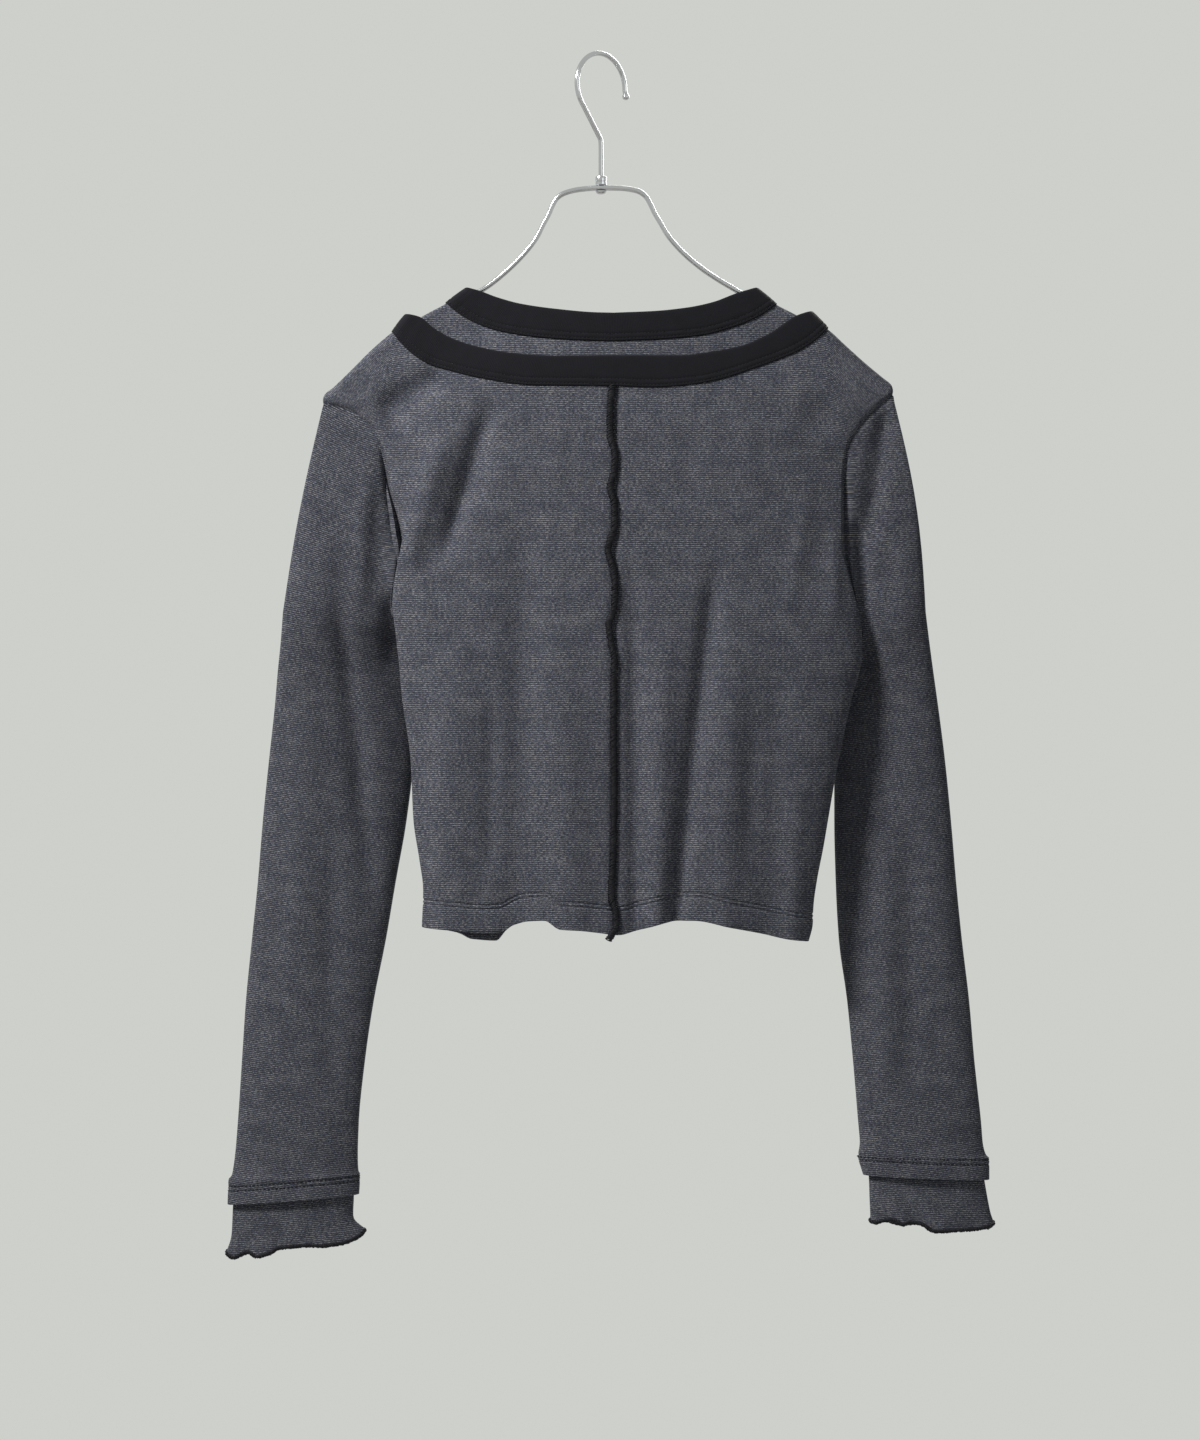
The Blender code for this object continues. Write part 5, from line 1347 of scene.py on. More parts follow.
# %% Neck bands
BAND_PROUD = 1.0  # how far a band stands out of the line it follows
BAND_DEEP = 1.5  # and how far in
BAND_FOOT_OVER = 0.4  # the band starts this far below the line it is sewn to
BAND_GROOVES = ((1.9, 0.32), (5.4, 0.3))  # height above the band's foot, and depth
BAND_GROOVE_WIDE = 0.45
BAND_HEIGHTS = (0, 0.25, 0.7, 1.2, 1.6, 1.9, 2.2, 2.7, 3.6, 4.6, 5.1, 5.4, 5.7, 6.2, 8)  # its profile's points
BAND_UNDER_TOP = (1.4, 0.8, 0.35, 0.08)  # and the last ones, down from its top
BAND_FOOT_ROUND, BAND_TOP_ROUND = 0.7, 2.0
BAND_LEAN = 6  # up to this height a band turns from its foot's direction into its own
BAND_SHUT = (0.75, 0.6)  # a free end is flatter by this share, within this length
# The puckers' depth and pitch, and how far and over what length the pitch sways.
PUCKERS = ((0.16, 1.27, 1.9, 11.3), (0.12, 2.9, 1.3, 7.1))
PUCKER_MIDDLE = 3.5  # they are deepest at this height, between the stitches
BAND_STEPS = {True: 4, False: 5}  # the outer band's, and the inner one's


def band_side(necks, side, face, shares, beneath, past):
    """A binding's foot and top on one quarter of the neck, from the centre out, and the foot's normals."""
    lines = []
    for path, off in zip(necks[side, face], (BINDING_GAP / 2, 0)):
        x, z = neckline(path, shares, off, side, beneath)
        x = x - side * past * np.clip(1 - shares / LAP_FADE, 0, 1)
        if off == 0:
            z[-1] = path["z"][-1]
        depth = np.abs(cloth_y(x, z, side, face, beneath))
        if lines:
            # Over the shoulder the band stands up from its foot.
            depth = np.maximum(depth, BINDING_UPRIGHT * np.abs(lines[0][:, 1]))
        depth[-1] = 0
        lines.append(np.stack([x, face * depth, z], axis=-1))
    foot = lines[0]
    normal = cloth_normal(foot[:, 0], foot[:, 2], side, face, beneath)
    normal[-1] = crest_normal(foot[-1:, 0])
    return foot, lines[1], normal


def band_profile(wide, bulge):
    """(height above the foot, offset from the middle face) round a folded band of a given width."""
    rest = np.linspace(BAND_HEIGHTS[-1], wide - 2.2, 6)[1:]
    heights = np.concatenate([BAND_HEIGHTS, rest, wide - np.array(BAND_UNDER_TOP)])
    proud = BAND_PROUD + bulge * np.sin(np.pi * np.clip(heights / wide, 0, 1)) ** 0.7
    for height, depth in BAND_GROOVES:
        proud = proud - depth * np.exp(-(((heights - height) / BAND_GROOVE_WIDE) ** 2))
    foot_round = np.sqrt(1 - np.clip(1 - heights / BAND_FOOT_ROUND, 0, 1) ** 2)
    top_round = np.sqrt(1 - np.clip(1 - (wide - heights) / BAND_TOP_ROUND, 0, 1) ** 2)
    middle = (BAND_PROUD - BAND_DEEP) / 2
    front = middle + (proud - middle) * foot_round * top_round
    back = middle - (middle + BAND_DEEP) * foot_round * top_round
    return (
        np.concatenate([heights, heights[-2:0:-1]]),
        np.concatenate([front, back[-2:0:-1]]),
    )


def add_band(name, necks, columns, beneath, past, bulge):
    """A folded rib band all round a neckline, from one front edge over the back to the other."""
    quarters = ((-1, 1, 1), (-1, -1, -1), (1, -1, 1), (1, 1, -1))
    pieces = []
    for number, (side, face, order) in enumerate(quarters):
        shares = finer(columns[face][columns[face] <= 1], BAND_STEPS[beneath == 0])
        lines = band_side(necks, side, face, shares, beneath, past if face > 0 else 0)
        pieces.append([line[::order][min(number, 1):] for line in lines])
    foot, top, foot_normal = (np.concatenate(lines) for lines in zip(*pieces))
    width_way = unit(top - foot)
    foot = foot - width_way * (BINDING_GAP / 2 + BAND_FOOT_OVER)
    along_way = unit(np.gradient((foot + top) / 2, axis=0))
    normal = unit(np.cross(along_way, width_way))
    normal = normal * np.sign((normal * foot_normal).sum())
    wide = np.linalg.norm(top - foot, axis=-1)
    run = np.concatenate([[0], np.cumsum(np.linalg.norm(np.diff((foot + top) / 2, axis=0), axis=-1))])
    pucker = sum(deep * np.sin(run / pitch + sway * np.sin(run / over)) for deep, pitch, sway, over in PUCKERS)
    sections, marks = [], []
    for i in range(len(foot)):
        height, off = band_profile(wide[i], bulge)
        near = np.exp(-(((height - PUCKER_MIDDLE) / PUCKER_MIDDLE) ** 2)) + 0.25
        off = off + pucker[i] * near * np.sign(off) * (np.abs(off) > 0.9)
        lean = np.clip(height / BAND_LEAN, 0, 1)[:, None]
        out = unit((1 - lean) * foot_normal[i] + lean * normal[i])
        # The free end of a front band is a plain soft fold.
        shut = 1 - BAND_SHUT[0] * math.exp(-min(run[i], run[-1] - run[i]) / BAND_SHUT[1])
        sections.append(foot[i] + height[:, None] * width_way[i] + out * off[:, None] * shut)
        marks.append(height)
    sections, marks = np.array(sections), np.array(marks)
    v = wrap(marks)
    u = np.broadcast_to(run[:, None], v.shape)
    piece = tube(name + "_band", sections, rib, uv=np.stack([u, v], -1) * MM)
    print(name, len(piece.data.polygons), "faces,", round(float(run[-1])), "mm long")
    return piece, foot, width_way, normal, foot_normal


outer_columns = {face: COLUMNS[face]["top"] for face, _ in FACES}
inner_columns = {face: YOKE_COLUMNS for face, _ in FACES}
outer_band, *outer_lines = add_band("neck_outer", OUTER_NECK, outer_columns, 0.0, LAP, 0.35)
inner_band, *inner_lines = add_band("neck_inner", INNER_NECK, inner_columns, LAYER_DROP, -SEAM_GAP / 2, 0.3)

# %% [markdown]
# ## The inner layer
# Between the two bands shows a strip of the layer beneath. Only a short yoke of it is there, which ends plainly
# inside the body. It uses the same form as the body, a little further in.

# %% Yokes
YOKE_STEPS = 4
YOKE_WALL = 1.1
YOKE_ROW_SHIFT = 0.7  # its stripes don't run on from the outer layer's


def yoke_grid(side, face, centre_x):
    """A quarter of the inner layer: from its neckline and shoulder down to a plain edge inside."""
    foot = INNER_NECK[side, face][0]
    columns, rows = finer(YOKE_COLUMNS, YOKE_STEPS), finer(YOKE_ROWS, YOKE_STEPS)[:, None]
    on_neck = columns <= 1
    x, z = neckline(foot, np.clip(columns, 0, 1), under_band(columns), side, LAYER_DROP)
    x[0] = centre_x
    tip_x = x[on_neck][-1] + side * YOKE_SHOULDER * np.clip(columns - 1, 0, 1)
    top_x = np.where(on_neck, x, tip_x)
    top_z = np.where(columns < 1, z, crest_z(tip_x) - LAYER_DROP)
    low_z = YOKE_LOW_Z[face] + YOKE_LOW_RISE * np.clip(columns - 1, 0, 1)
    grid_z = low_z + rows * (top_z - low_z)
    grid_x = np.broadcast_to(top_x, grid_z.shape)
    y = cloth_y(grid_x, grid_z, side, face, LAYER_DROP) - face * YOKE_SET_BACK * (1 - rows)
    return np.stack([grid_x, y, grid_z], axis=-1)


def add_yoke(name, grids, face, shoulders):
    grid = np.concatenate(grids, axis=1)
    normals = grid_normals(grid, face)
    top_x, top_z = grid[-1, :, 0], grid[-1, :, 2]
    neck = cloth_normal(top_x, top_z, 0, face, LAYER_DROP)
    normals[-1] = np.where(shoulders[:, None], crest_normal(top_x), neck)
    uv = np.stack([grid[..., 0], grid[..., 2] + YOKE_ROW_SHIFT], -1) * MM
    add_sheet(name, grid, grid - normals * YOKE_WALL, uv, striped_jersey, grid)


on_shoulder = finer(YOKE_COLUMNS, YOKE_STEPS) >= 1
halves = {side: yoke_grid(side, -1, CENTRE_X) for side, _ in SIDES}
both_shoulders = np.concatenate([on_shoulder[::-1], on_shoulder[1:]])
add_yoke("yoke_back", [halves[-1][:, ::-1], halves[1][:, 1:]], -1, both_shoulders)
for side, word in SIDES:
    add_yoke(f"yoke_front_{word}", [yoke_grid(side, 1, CENTRE_X + side * SEAM_GAP / 2)], 1, on_shoulder)

# %% [markdown]
# ## Sewing with Geometry Nodes
# Stitches repeat along a line by the hundred, which is what Geometry Nodes are for. One tree lays short thread
# beads end to end along a path and turns each to follow it. A second one winds thread round a cord, as an
# overlocker does. Both take named sizes and a fixed seed, and both are turned into plain meshes.

# %% Thread trees
TREE_SIZES = (
    ("Pitch", "NodeSocketFloat"), ("Across", "NodeSocketVector"), ("Wander", "NodeSocketFloat"),
    ("Seed", "NodeSocketInt"), ("Material", "NodeSocketMaterial"),
)
STRAND_RADIUS = 0.00042


def start_tree(name, sockets):
    tree = bpy.data.node_groups.new(name, "GeometryNodeTree")
    for label, kind in (("Geometry", "NodeSocketGeometry"), *sockets):
        tree.interface.new_socket(label, in_out="INPUT", socket_type=kind)
    tree.interface.new_socket("Geometry", in_out="OUTPUT", socket_type="NodeSocketGeometry")
    return tree, tree.nodes.new("NodeGroupInput").outputs, tree.nodes.new("NodeGroupOutput")


def thread_tree(name, wound):
    """Beads of thread along a path, or rings of thread wound round it."""
    tree, given, result = start_tree(name, TREE_SIZES)

    def node(kind, settings=None, **inputs):
        return new_node(tree, kind, settings, **inputs).outputs[0]

    def drawn_by_lot(low, high):
        return node("FunctionNodeRandomValue", {"data_type": "FLOAT_VECTOR"}, Min=low, Max=high, Seed=given["Seed"])

    line = node("GeometryNodeMeshToCurve", Mesh=given["Geometry"])
    even = node("GeometryNodeResampleCurve", {"mode": "LENGTH"}, Curve=line, Length=given["Pitch"])
    tangent = node("GeometryNodeInputTangent")
    if wound:
        turn = node("FunctionNodeAlignRotationToVector", {"axis": "Z"}, Vector=tangent)
        turn = node(
            "FunctionNodeAlignRotationToVector", {"axis": "Y", "pivot_axis": "Z"}, Rotation=turn, Vector=(0, -1, 0)
        )
        ring = node("GeometryNodeCurvePrimitiveCircle", Resolution=12, Radius=1.0)
        ring = node("GeometryNodeTransform", Geometry=ring, Scale=given["Across"], Rotation=(0.5, 0.3, 0))
        section = node("GeometryNodeCurvePrimitiveCircle", Resolution=5, Radius=STRAND_RADIUS)
        bead = node("GeometryNodeCurveToMesh", Curve=ring, Profile_Curve=section)
    else:
        turn = node("FunctionNodeAlignRotationToVector", {"axis": "X"}, Vector=tangent)
        ball = node("GeometryNodeMeshUVSphere", Segments=6, Rings=4, Radius=1.0)
        bead = node("GeometryNodeTransform", Geometry=ball, Scale=given["Across"])
    size = drawn_by_lot((0.82, 0.82, 0.9), (1.15, 1.2, 1.1))
    tilt = drawn_by_lot((-1, -1, -1), (1, 1, 1))
    swing = node("ShaderNodeVectorMath", {"operation": "SCALE"}, _0=tilt, Scale=given["Wander"])
    laid = node("GeometryNodeInstanceOnPoints", Points=even, Instance=bead, Rotation=turn, Scale=size)
    leaning = node("GeometryNodeRotateInstances", Instances=laid, Rotation=swing)
    real = node("GeometryNodeRealizeInstances", Geometry=leaning)
    done = node("GeometryNodeSetMaterial", Geometry=real, Material=given["Material"])
    tree.links.new(node("GeometryNodeSetShadeSmooth", Geometry=done), result.inputs[0])
    return tree


stitch_row = thread_tree("row of stitches", False)
winding = thread_tree("wound thread", True)


def sew(name, paths, tree, thread_finish, pitch, across, wander, seed, closed=False):
    """Runs a thread tree along paths in millimetres and gives back the result as one plain mesh."""
    mesh = bpy.data.meshes.new(name)
    points, edges = [], []
    for path in paths:
        start = len(points)
        points += [tuple(point) for point in np.asarray(path, float) * MM]
        edges += [(k, k + 1) for k in range(start, len(points) - 1)]
        if closed:
            edges.append((len(points) - 1, start))
    mesh.from_pydata(points, edges, [])
    piece = add_object(name, mesh)
    nodes = piece.modifiers.new("thread", "NODES")
    nodes.node_group = tree
    values = {"Pitch": pitch * MM, "Across": tuple(v * MM for v in across), "Wander": wander, "Seed": seed}
    values["Material"] = thread_finish
    for item in tree.interface.items_tree:
        if item.in_out == "INPUT" and item.name in values:
            nodes[item.identifier] = values[item.name]
    settle(piece).name = name
    print(name, len(piece.data.polygons), "faces")
    return piece

# %% [markdown]
# ## Trim down the back
# The centre back seam is left on the outside and overlocked in black, so it stands up as a fuzzy cord. It sways
# from side to side above and runs straight below, and its tip curls past the hem.

# %% Trim
TRIM_HALF = 2.0  # half its width
TRIM_THICK = 2.0
TRIM_OFF = 0.35  # it stands this far off the cloth
TRIM_SIDES = 12
WIND_PITCH = 0.85  # from one loop of thread to the next, here and on the curly edges


def trim_path():
    """The trim's line on the cloth, from its tip up to the neck band."""
    x, z, at = spaced(TRIM, 300)
    y = cloth_y(x, np.maximum(z, hem_z(x, -1)), -1, -1)
    return np.stack([x, y, z], axis=-1), at


trim_line, trim_run = trim_path()
run_way = unit(np.gradient(trim_line, axis=0))
across_way = unit(np.cross(run_way, (0, -1.0, 0)))
breath = 1 + 0.10 * np.sin(trim_run / 2.3 + 2 * np.sin(trim_run / 9)) + 0.07 * np.sin(trim_run / 5.1)
section = []
for a in angles_round(TRIM_SIDES):
    sideways = across_way * (math.cos(a) * TRIM_HALF * breath)[:, None]
    outwards = (TRIM_OFF + TRIM_THICK * 0.5 * (1 + math.sin(a)) * breath)[:, None]
    section.append(trim_line + sideways - outwards * (0, 1, 0))
trim_core = tube("trim_core", np.stack(section, axis=1), black_thread)
trim_middle = trim_line - np.outer(TRIM_OFF + TRIM_THICK * 0.5 * np.ones(len(trim_line)), (0, 1, 0))
trim_across = (TRIM_HALF + 0.3, TRIM_THICK * 0.5 + 0.25, 1000)
trim_thread = sew(
    "trim_thread", [trim_middle], winding, black_thread, WIND_PITCH, trim_across, wander=0.22, seed=3
)

# %% [markdown]
# ## Curly edge of the under-cuffs
# The same overlock thread closes the under-cuffs. It is wound over a core that follows their curled last row.

# %% Curly edges
EDGE_RADIUS = 1.15
EDGE_TALLER = 1.15  # the cord is a little taller than wide
EDGE_SIDES = 10


def edge_cord(name, side, seed):
    path = cuff_ends[side] - (0, 0, EDGE_RADIUS * 0.6)
    joined = np.concatenate([path[-1:], path, path[:1]])
    way = unit(joined[2:] - joined[:-2])
    first = unit(np.cross(way, (0, 0, 1.0)))
    second = np.cross(way, first)
    sections = [
        path + EDGE_RADIUS * (math.cos(a) * first + EDGE_TALLER * math.sin(a) * second)
        for a in angles_round(EDGE_SIDES)
    ]
    core = tube(name + "_core", np.stack(sections, axis=1), black_thread, closed=True)
    across = (EDGE_RADIUS + 0.25, EDGE_RADIUS + 0.35, 1000)
    wound = sew(
        name + "_thread", [path], winding, black_thread, WIND_PITCH, across, wander=0.25, seed=seed, closed=True
    )
    return core, wound


EDGE_SEEDS = {-1: 5, 1: 8}
edges = {side: edge_cord(f"cuff_edge_{word}", side, EDGE_SEEDS[side]) for side, word in SIDES}

# %% [markdown]
# ## Stitched hems
# A jersey hem is turned up once and held by a coverstitch, which shows as two broken lines. They follow the hem
# a little above its fold, on the body and round the sleeves. The neck bands have two such rows as well.

# %% Hem stitches
STITCH = (1.15, 0.22, 0.26)  # half its length, its height and its width
HEM_STITCH = (1.2, 0.28, 0.4)
HEM_PITCH, BAND_PITCH = 2.9, 2.6
BODY_STITCH_IN = 0.4  # how far the thread's middle lies in its groove on the body
SLEEVE_STITCH_OUT = 0.28  # and out of it on the sleeves
BAND_STITCH_OUT = 0.25
HEM_RINGS = 16  # a sleeve's rings that its stitches are looked for in


def rows_at(heights, above, points):
    """Lines across a grid whose rows run up from a hem, at these heights above it."""
    return [
        np.array(
            [[np.interp(height, above[:, j], points[:, j, k]) for k in range(3)] for j in range(points.shape[1])]
        )
        for height in heights
    ]


def hem_rows(side, face):
    grid, normals = body[side, face]
    above = grid[..., 2] - hem_z(grid[..., 0], face)
    low = (slice(len(seam_rows())), slice(1, -1))
    return rows_at(HEM_STITCHES, above[low], (grid - normals * BODY_STITCH_IN)[low])


def sleeve_rows(side):
    outer, normals = sleeves[side]
    above = outer[..., 2] - outer[-1, :, 2]
    low = slice(None, -HEM_RINGS - 1, -1)
    return rows_at(SLEEVE_STITCHES[side], above[low], (outer + normals * SLEEVE_STITCH_OUT)[low])


def band_rows(lines):
    """The two rows on a neck band, in its grooves."""
    foot, width_way, normal, foot_normal = lines
    found = []
    for height, depth in BAND_GROOVES:
        lean = min(height / BAND_LEAN, 1)
        out = unit((1 - lean) * foot_normal + lean * normal)
        found.append((foot + width_way * height + out * (BAND_PROUD - depth + BAND_STITCH_OUT))[1:-1])
    return found


HEM_SEWING = (stitch_row, navy_thread, HEM_PITCH, HEM_STITCH)
BAND_SEWING = (stitch_row, black_thread, BAND_PITCH, STITCH)
body_stitches = {
    (side, face): sew(
        name + "_stitches", hem_rows(side, face), *HEM_SEWING, wander=0.16, seed=11 + 2 * side + face
    )
    for (side, face), name in QUARTERS.items()
}
sleeve_stitches = {
    side: sew(f"sleeve_{word}_stitches", sleeve_rows(side), *HEM_SEWING, wander=0.16, seed=21 + side, closed=True)
    for side, word in SIDES
}
outer_stitches = sew("neck_outer_stitches", band_rows(outer_lines), *BAND_SEWING, wander=0.12, seed=31)
inner_stitches = sew("neck_inner_stitches", band_rows(inner_lines), *BAND_SEWING, wander=0.12, seed=32)

# %% [markdown]
# ## Buttons
# The front closes with five small dark buttons. A button is a turned disc with a raised rim and four holes, so
# its profile is spun, the holes are cut by a Boolean, and two bars of thread cross the dish.

# %% Buttons
BUTTON_COUNT = 5
BUTTON_FIRST_Z = -288
BUTTON_LAST_Z = -610
BUTTON_OFF = 0.5  # how far a button stands off the cloth
BAR_HALF = 1.3  # half the length of a bar of thread
BAR_FOOT, BAR_RISE = 1.75, 0.45  # it starts this high in the dish and arches by this much
BEAD = 0.42  # half a bead's size, and the pitch of the beads
HOLE_RADIUS = 0.72
HOLE_OFF = 1.15  # each hole's distance from the middle, across and up
BUTTON_PROFILE = (  # radius and height
    (0.05, 0.1), (3.2, 0.0), (4.8, 0.15), (5.5, 0.6), (5.75, 1.15), (5.6, 1.75), (5.2, 2.2), (4.6, 2.4),
    (4.1, 2.3), (3.7, 1.95), (3.3, 1.75), (1.6, 1.65), (0.05, 1.62),
)


def turned(name, profile, sides, finish, sharp=40):
    """A closed turned solid about +Z from (radius, height) pairs in millimetres."""
    angles = angles_round(sides)
    rings = [np.stack([r * np.cos(angles), r * np.sin(angles), np.full(sides, h)], -1) for r, h in profile]
    return tube(name, np.array(rings), finish, sharp=sharp)


def cut_holes(piece):
    """Four small round holes through a button."""
    cutters = []
    for x, y in ((1, 1), (-1, 1), (-1, -1), (1, -1)):
        pin = turned("pin", ((HOLE_RADIUS, -1), (HOLE_RADIUS, 4)), 16, dark_button)
        pin.data.transform(type(pin.matrix_world).Translation((x * HOLE_OFF * MM, y * HOLE_OFF * MM, 0)))
        cutters.append(pin)
    for pin in cutters:
        cut = piece.modifiers.new("hole", "BOOLEAN")
        cut.operation, cut.object, cut.solver = "DIFFERENCE", pin, "EXACT"
    settle(piece)
    for pin in cutters:
        bpy.data.objects.remove(pin)


def placed_copy(source, name, x, y, z):
    """A copy of a turned piece, faced towards +Y, with its place in its mesh."""
    mesh = source.data.copy()
    turn = np.array([[1.0, 0, 0, x * MM], [0, 0, 1, y * MM], [0, -1, 0, z * MM], [0, 0, 0, 1]])
    mesh.transform(type(source.matrix_world)(turn.tolist()))
    return add_object(name, mesh)


pattern = turned("button_pattern", BUTTON_PROFILE, 48, dark_button)
cut_holes(pattern)
thread_bars = []
buttons = []
for number in range(BUTTON_COUNT):
    z = BUTTON_FIRST_Z + (BUTTON_LAST_Z - BUTTON_FIRST_Z) * number / (BUTTON_COUNT - 1)
    seat = float(cloth_y(np.array([CENTRE_X * 1.0]), np.array([z * 1.0]), 1, 1)[0]) + BUTTON_OFF
    buttons.append(placed_copy(pattern, f"front_button_{number + 1}", CENTRE_X, seat, z))
    for row in (-HOLE_OFF, HOLE_OFF):
        run = np.linspace(-BAR_HALF, BAR_HALF, 9)
        lift = BAR_FOOT + BAR_RISE * np.cos(run / BAR_HALF * math.pi / 2)
        thread_bars.append(np.stack([CENTRE_X + run, seat + lift, np.full(len(run), z + row)], -1))
button_thread = sew("button_thread", thread_bars, stitch_row, black_thread, BEAD, (BEAD,) * 3, wander=0.1, seed=41)
bpy.data.objects.remove(pattern)
print(len(buttons), "buttons of", len(buttons[0].data.polygons), "faces")

# %% [markdown]
# ## The wire hanger
# The hanger is one wire bent into a narrow double loop, with a turned collar at the top of its arch and a hook
# that swivels in the collar. Bent wire is a tube of constant section, so the section is carried along the path
# without twisting.

# %% Hanger
HOOK_RADIUS = 1.75
HOOK_BEND = 23.5
HOOK_TURN = math.radians(43)  # how far the hook is turned in its collar
HOOK_STRAIGHT_Z = -66  # its shank is straight up to here
HOOK_LEAVES = math.radians(222)  # where the bend's round starts
BALL_START, BALL_LONG, BALL_WIDE = 2.9, 2.5, 1.5  # the ball on its tip: lengths in mm, width in wire widths
HOOK_NECK = ((0, -64.5), (-0.12, -62.4), (-0.5, -60.5), (-1.35, -58.8), (-2.6, -57.3))  # its set below the bend
COLLAR_RADIUS = 4.0
COLLAR_TALL = 6.5
COLLAR_FLOOR = 1.5
RIVET_RADIUS = 3.1


def wire(name, path, radius, sides, ring, finish):
    """A round wire along a path; its section is carried from point to point, so that it doesn't twist."""
    if ring:
        tangent = unit(np.roll(path, -1, axis=0) - np.roll(path, 1, axis=0))
    else:
        tangent = unit(np.gradient(path, axis=0))
    start = (0, 1, 0) if abs(tangent[0][1]) < 0.9 else (1, 0, 0)
    normal = [unit(np.cross(tangent[0], start))]
    for t in tangent[1:]:
        normal.append(unit(normal[-1] - np.dot(normal[-1], t) * t))
    normal = np.array(normal)
    second = np.cross(tangent, normal)
    radius = np.broadcast_to(radius, len(path))[:, None]
    sections = [path + radius * (math.cos(a) * normal + math.sin(a) * second) for a in angles_round(sides)]
    return tube(name, np.stack(sections, axis=1), finish, closed=ring, sharp=60)


def frame_loop():
    """The loop of the frame's wire: along the front, round the shoulder end, and back."""
    x, z, _ = spaced(FRAME, 220)
    middle = np.stack([x, np.zeros_like(x), z], axis=-1)
    front, back = middle + (0, WIRE_SPREAD, 0), middle[::-1] - (0, WIRE_SPREAD, 0)
    turns = []
    for end, before, order in ((middle[-1], middle[-2], 1), (middle[0], middle[1], -1)):
        onward = unit(end - before)
        sweep = np.radians(np.arange(15, 180, 15))
        turns.append(end + WIRE_SPREAD * (np.outer(np.sin(sweep), onward) + np.outer(np.cos(sweep), (0, order, 0))))
    return np.concatenate([front, turns[0], back, turns[1]])


hanger_wire = wire("hanger_wire", frame_loop(), WIRE_RADIUS, 20, True, steel)

centre = HOOK_RADIUS - HOOK_BEND
top = ARCH_TOP_Z + WIRE_RADIUS + SEAM_GAP
low = ARCH_TOP_Z - WIRE_RADIUS - SEAM_GAP
flat = [(0, z) for z in np.linspace(top + COLLAR_FLOOR + SEAM_GAP, HOOK_STRAIGHT_Z, 8)]
flat += HOOK_NECK
join = (HOOK_BEND * math.cos(HOOK_LEAVES), centre + HOOK_BEND * math.sin(HOOK_LEAVES))
neck_x, neck_z = HOOK_NECK[-1]
flat += [(neck_x + (join[0] - neck_x) * t, neck_z + (join[1] - neck_z) * t) for t in (0.25, 0.5, 0.75)]
flat += [(HOOK_BEND * math.cos(a), centre + HOOK_BEND * math.sin(a)) for a in np.linspace(HOOK_LEAVES, 0, 70)]
flat.append((HOOK_BEND + 0.2, centre - 1.2))
flat.append((HOOK_BEND + 0.4, centre - 2))
path = np.array([(h * math.cos(HOOK_TURN), h * math.sin(HOOK_TURN), z) for h, z in flat])
onward = unit(path[-1] - path[-2])
ball = [
    (BALL_START - BALL_LONG * math.cos(a), math.sin(a) * BALL_WIDE) for a in np.linspace(0.62, math.pi - 0.06, 14)
]
path = np.concatenate([path, [path[-1] + onward * step for step, _ in ball]])
size = np.concatenate([np.full(len(flat), HOOK_RADIUS), [HOOK_RADIUS * max(swell, 0.03) for _, swell in ball]])
hanger_hook = wire("hanger_hook_wire", path, size, 24, False, steel)

bore = HOOK_RADIUS + SEAM_GAP
stud = WIRE_SPREAD - WIRE_RADIUS - SEAM_GAP
floor, mouth = top + COLLAR_FLOOR, top + COLLAR_TALL
collar = turned(
    "hanger_collar_turned",
    (
        (0.02, floor), (bore, floor), (bore, mouth - 0.4), (bore + 0.35, mouth),
        (COLLAR_RADIUS - 0.8, mouth), (COLLAR_RADIUS - 0.25, mouth - 0.25), (COLLAR_RADIUS, mouth - 0.8),
        (COLLAR_RADIUS, top + 3.2), (COLLAR_RADIUS - 0.35, top + 2.9), (COLLAR_RADIUS - 0.35, top + 2.5),
        (COLLAR_RADIUS, top + 2.2), (COLLAR_RADIUS, top + 0.4), (COLLAR_RADIUS - 0.4, top), (stud, top),
        (stud, low), (COLLAR_RADIUS - 0.3, low), (COLLAR_RADIUS, low - 0.35),
        (COLLAR_RADIUS - 0.15, low - 0.9), (RIVET_RADIUS, low - 2), (1.8, low - 2.6), (0.02, low - 2.8),
    ),
    48, steel,
)
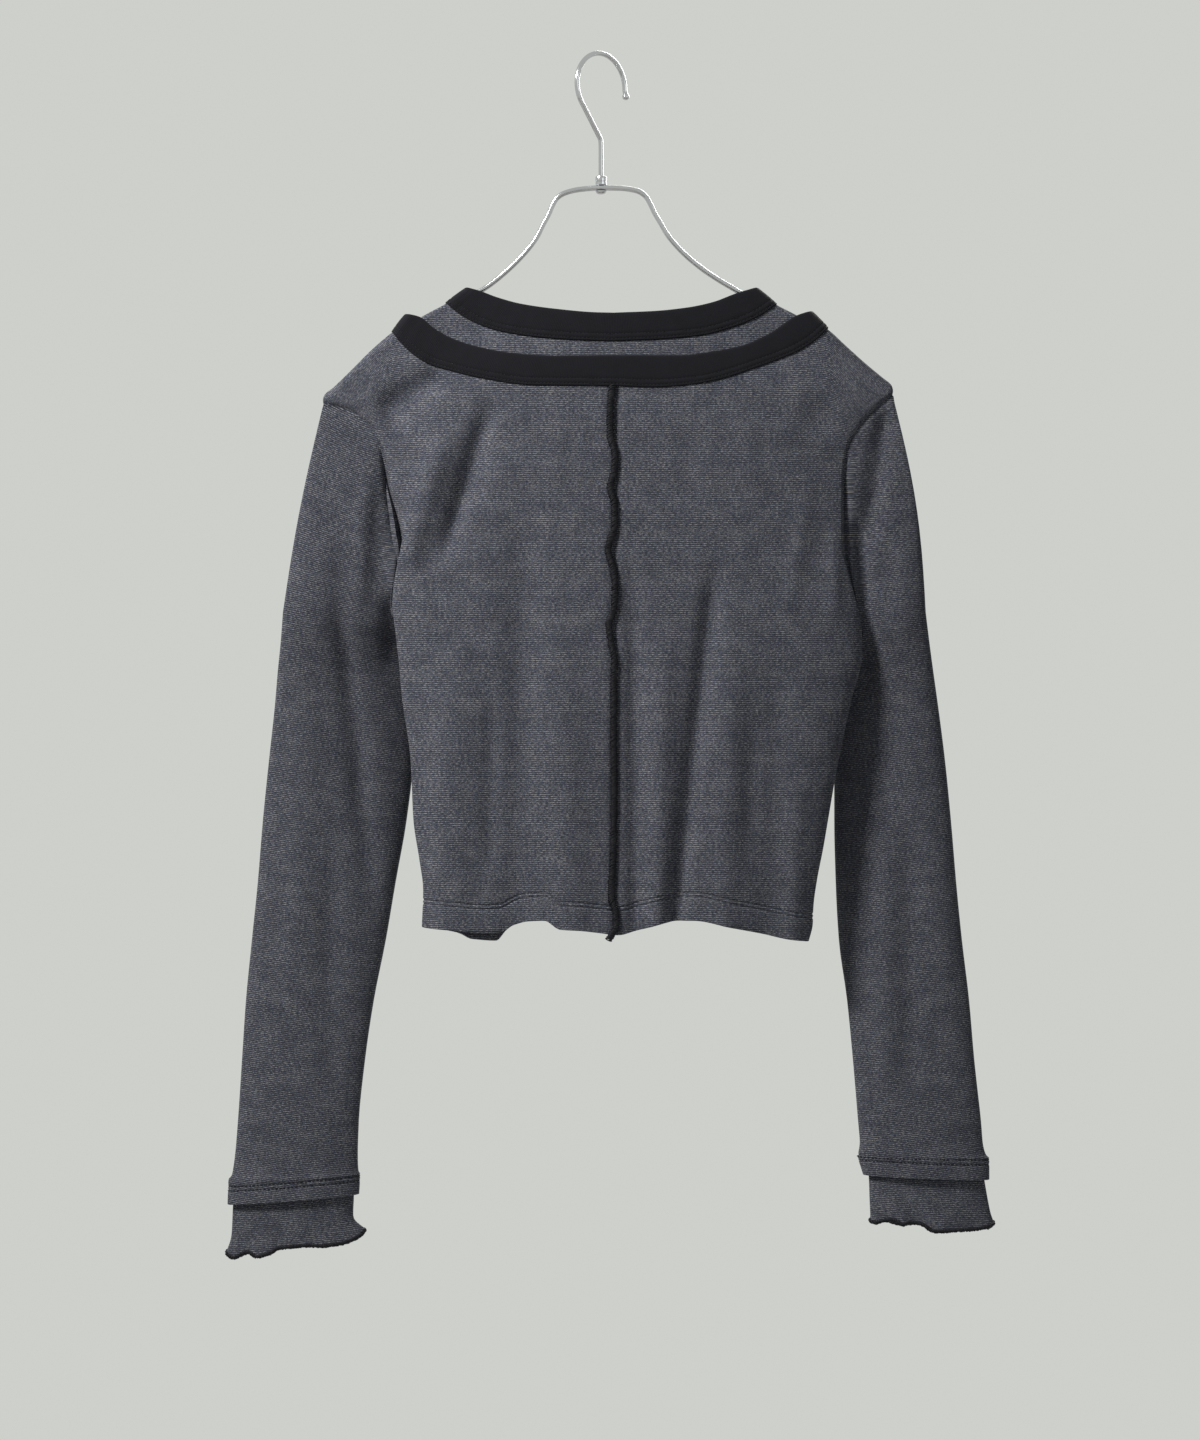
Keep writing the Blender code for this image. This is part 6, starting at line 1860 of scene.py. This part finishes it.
print("hanger wire", len(hanger_wire.data.polygons), "faces, hook", len(hanger_hook.data.polygons))

# %% [markdown]
# ## What each piece stands for
# Every piece rides on the imported model's one body and takes the place of the plain solid it dresses, which is
# hidden. The floor is a stage, not part of the object.

# %% Floor
FLOOR_RADIUS = 2.3
FLOOR_Z = -1.5

shape = bmesh.new()
bmesh.ops.create_circle(shape, cap_ends=True, radius=FLOOR_RADIUS, segments=96)
floor_mesh = bpy.data.meshes.new("pale_floor")
shape.to_mesh(floor_mesh)
shape.free()
floor_mesh.transform(type(camera.matrix_world).Translation((0, 0, FLOOR_Z)))
pale, pale_shader, pale_place = start_finish("pale floor", "Object", Roughness=0.8)
feed(pale_shader, "Base Color", pale_place.noise(9, 4).mix((0.60, 0.60, 0.58), (0.66, 0.66, 0.64)))
add_bump(pale_shader, pale_place.noise(160, 3), 0.0004, 0.3)
floor_mesh.materials.append(pale)
floor_disc = add_object("pale_floor", floor_mesh)

# %% Riding and replacing
stands_for = [(piece, (node,), "jersey") for piece, node, _, _ in sheets]
stands_for += [(outer_band, ("neck_binding_outer",), "rib"), (inner_band, ("neck_binding_inner",), "rib")]
stands_for += [(trim_core, ("back_seam_trim",), "rib"), (trim_thread, (), "rib")]
for side, word in SIDES:
    core, wound = edges[side]
    stands_for += [(core, (f"cuff_edge_{word}",), "rib"), (wound, (), "rib"), (sleeve_stitches[side], (), "rib")]
    stands_for += [(body_stitches[side, face], (), "rib") for face in (-1, 1)]
stands_for += [(outer_stitches, (), "rib"), (inner_stitches, (), "rib"), (button_thread, (), "rib")]
stands_for += [(piece, (f"button_{number + 1}",), "buttons") for number, piece in enumerate(buttons)]
stands_for += [(hanger_wire, ("hanger_frame",), "steel"), (hanger_hook, ("hanger_hook",), "steel")]
stands_for += [(collar, ("hanger_collar",), "steel")]
for piece, nodes, slot in stands_for:
    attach(piece, "root")
    if nodes:
        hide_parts(*nodes)

for piece, name, flat_cut, area in sheets:
    min(area, flat_cut[0] * flat_cut[1])
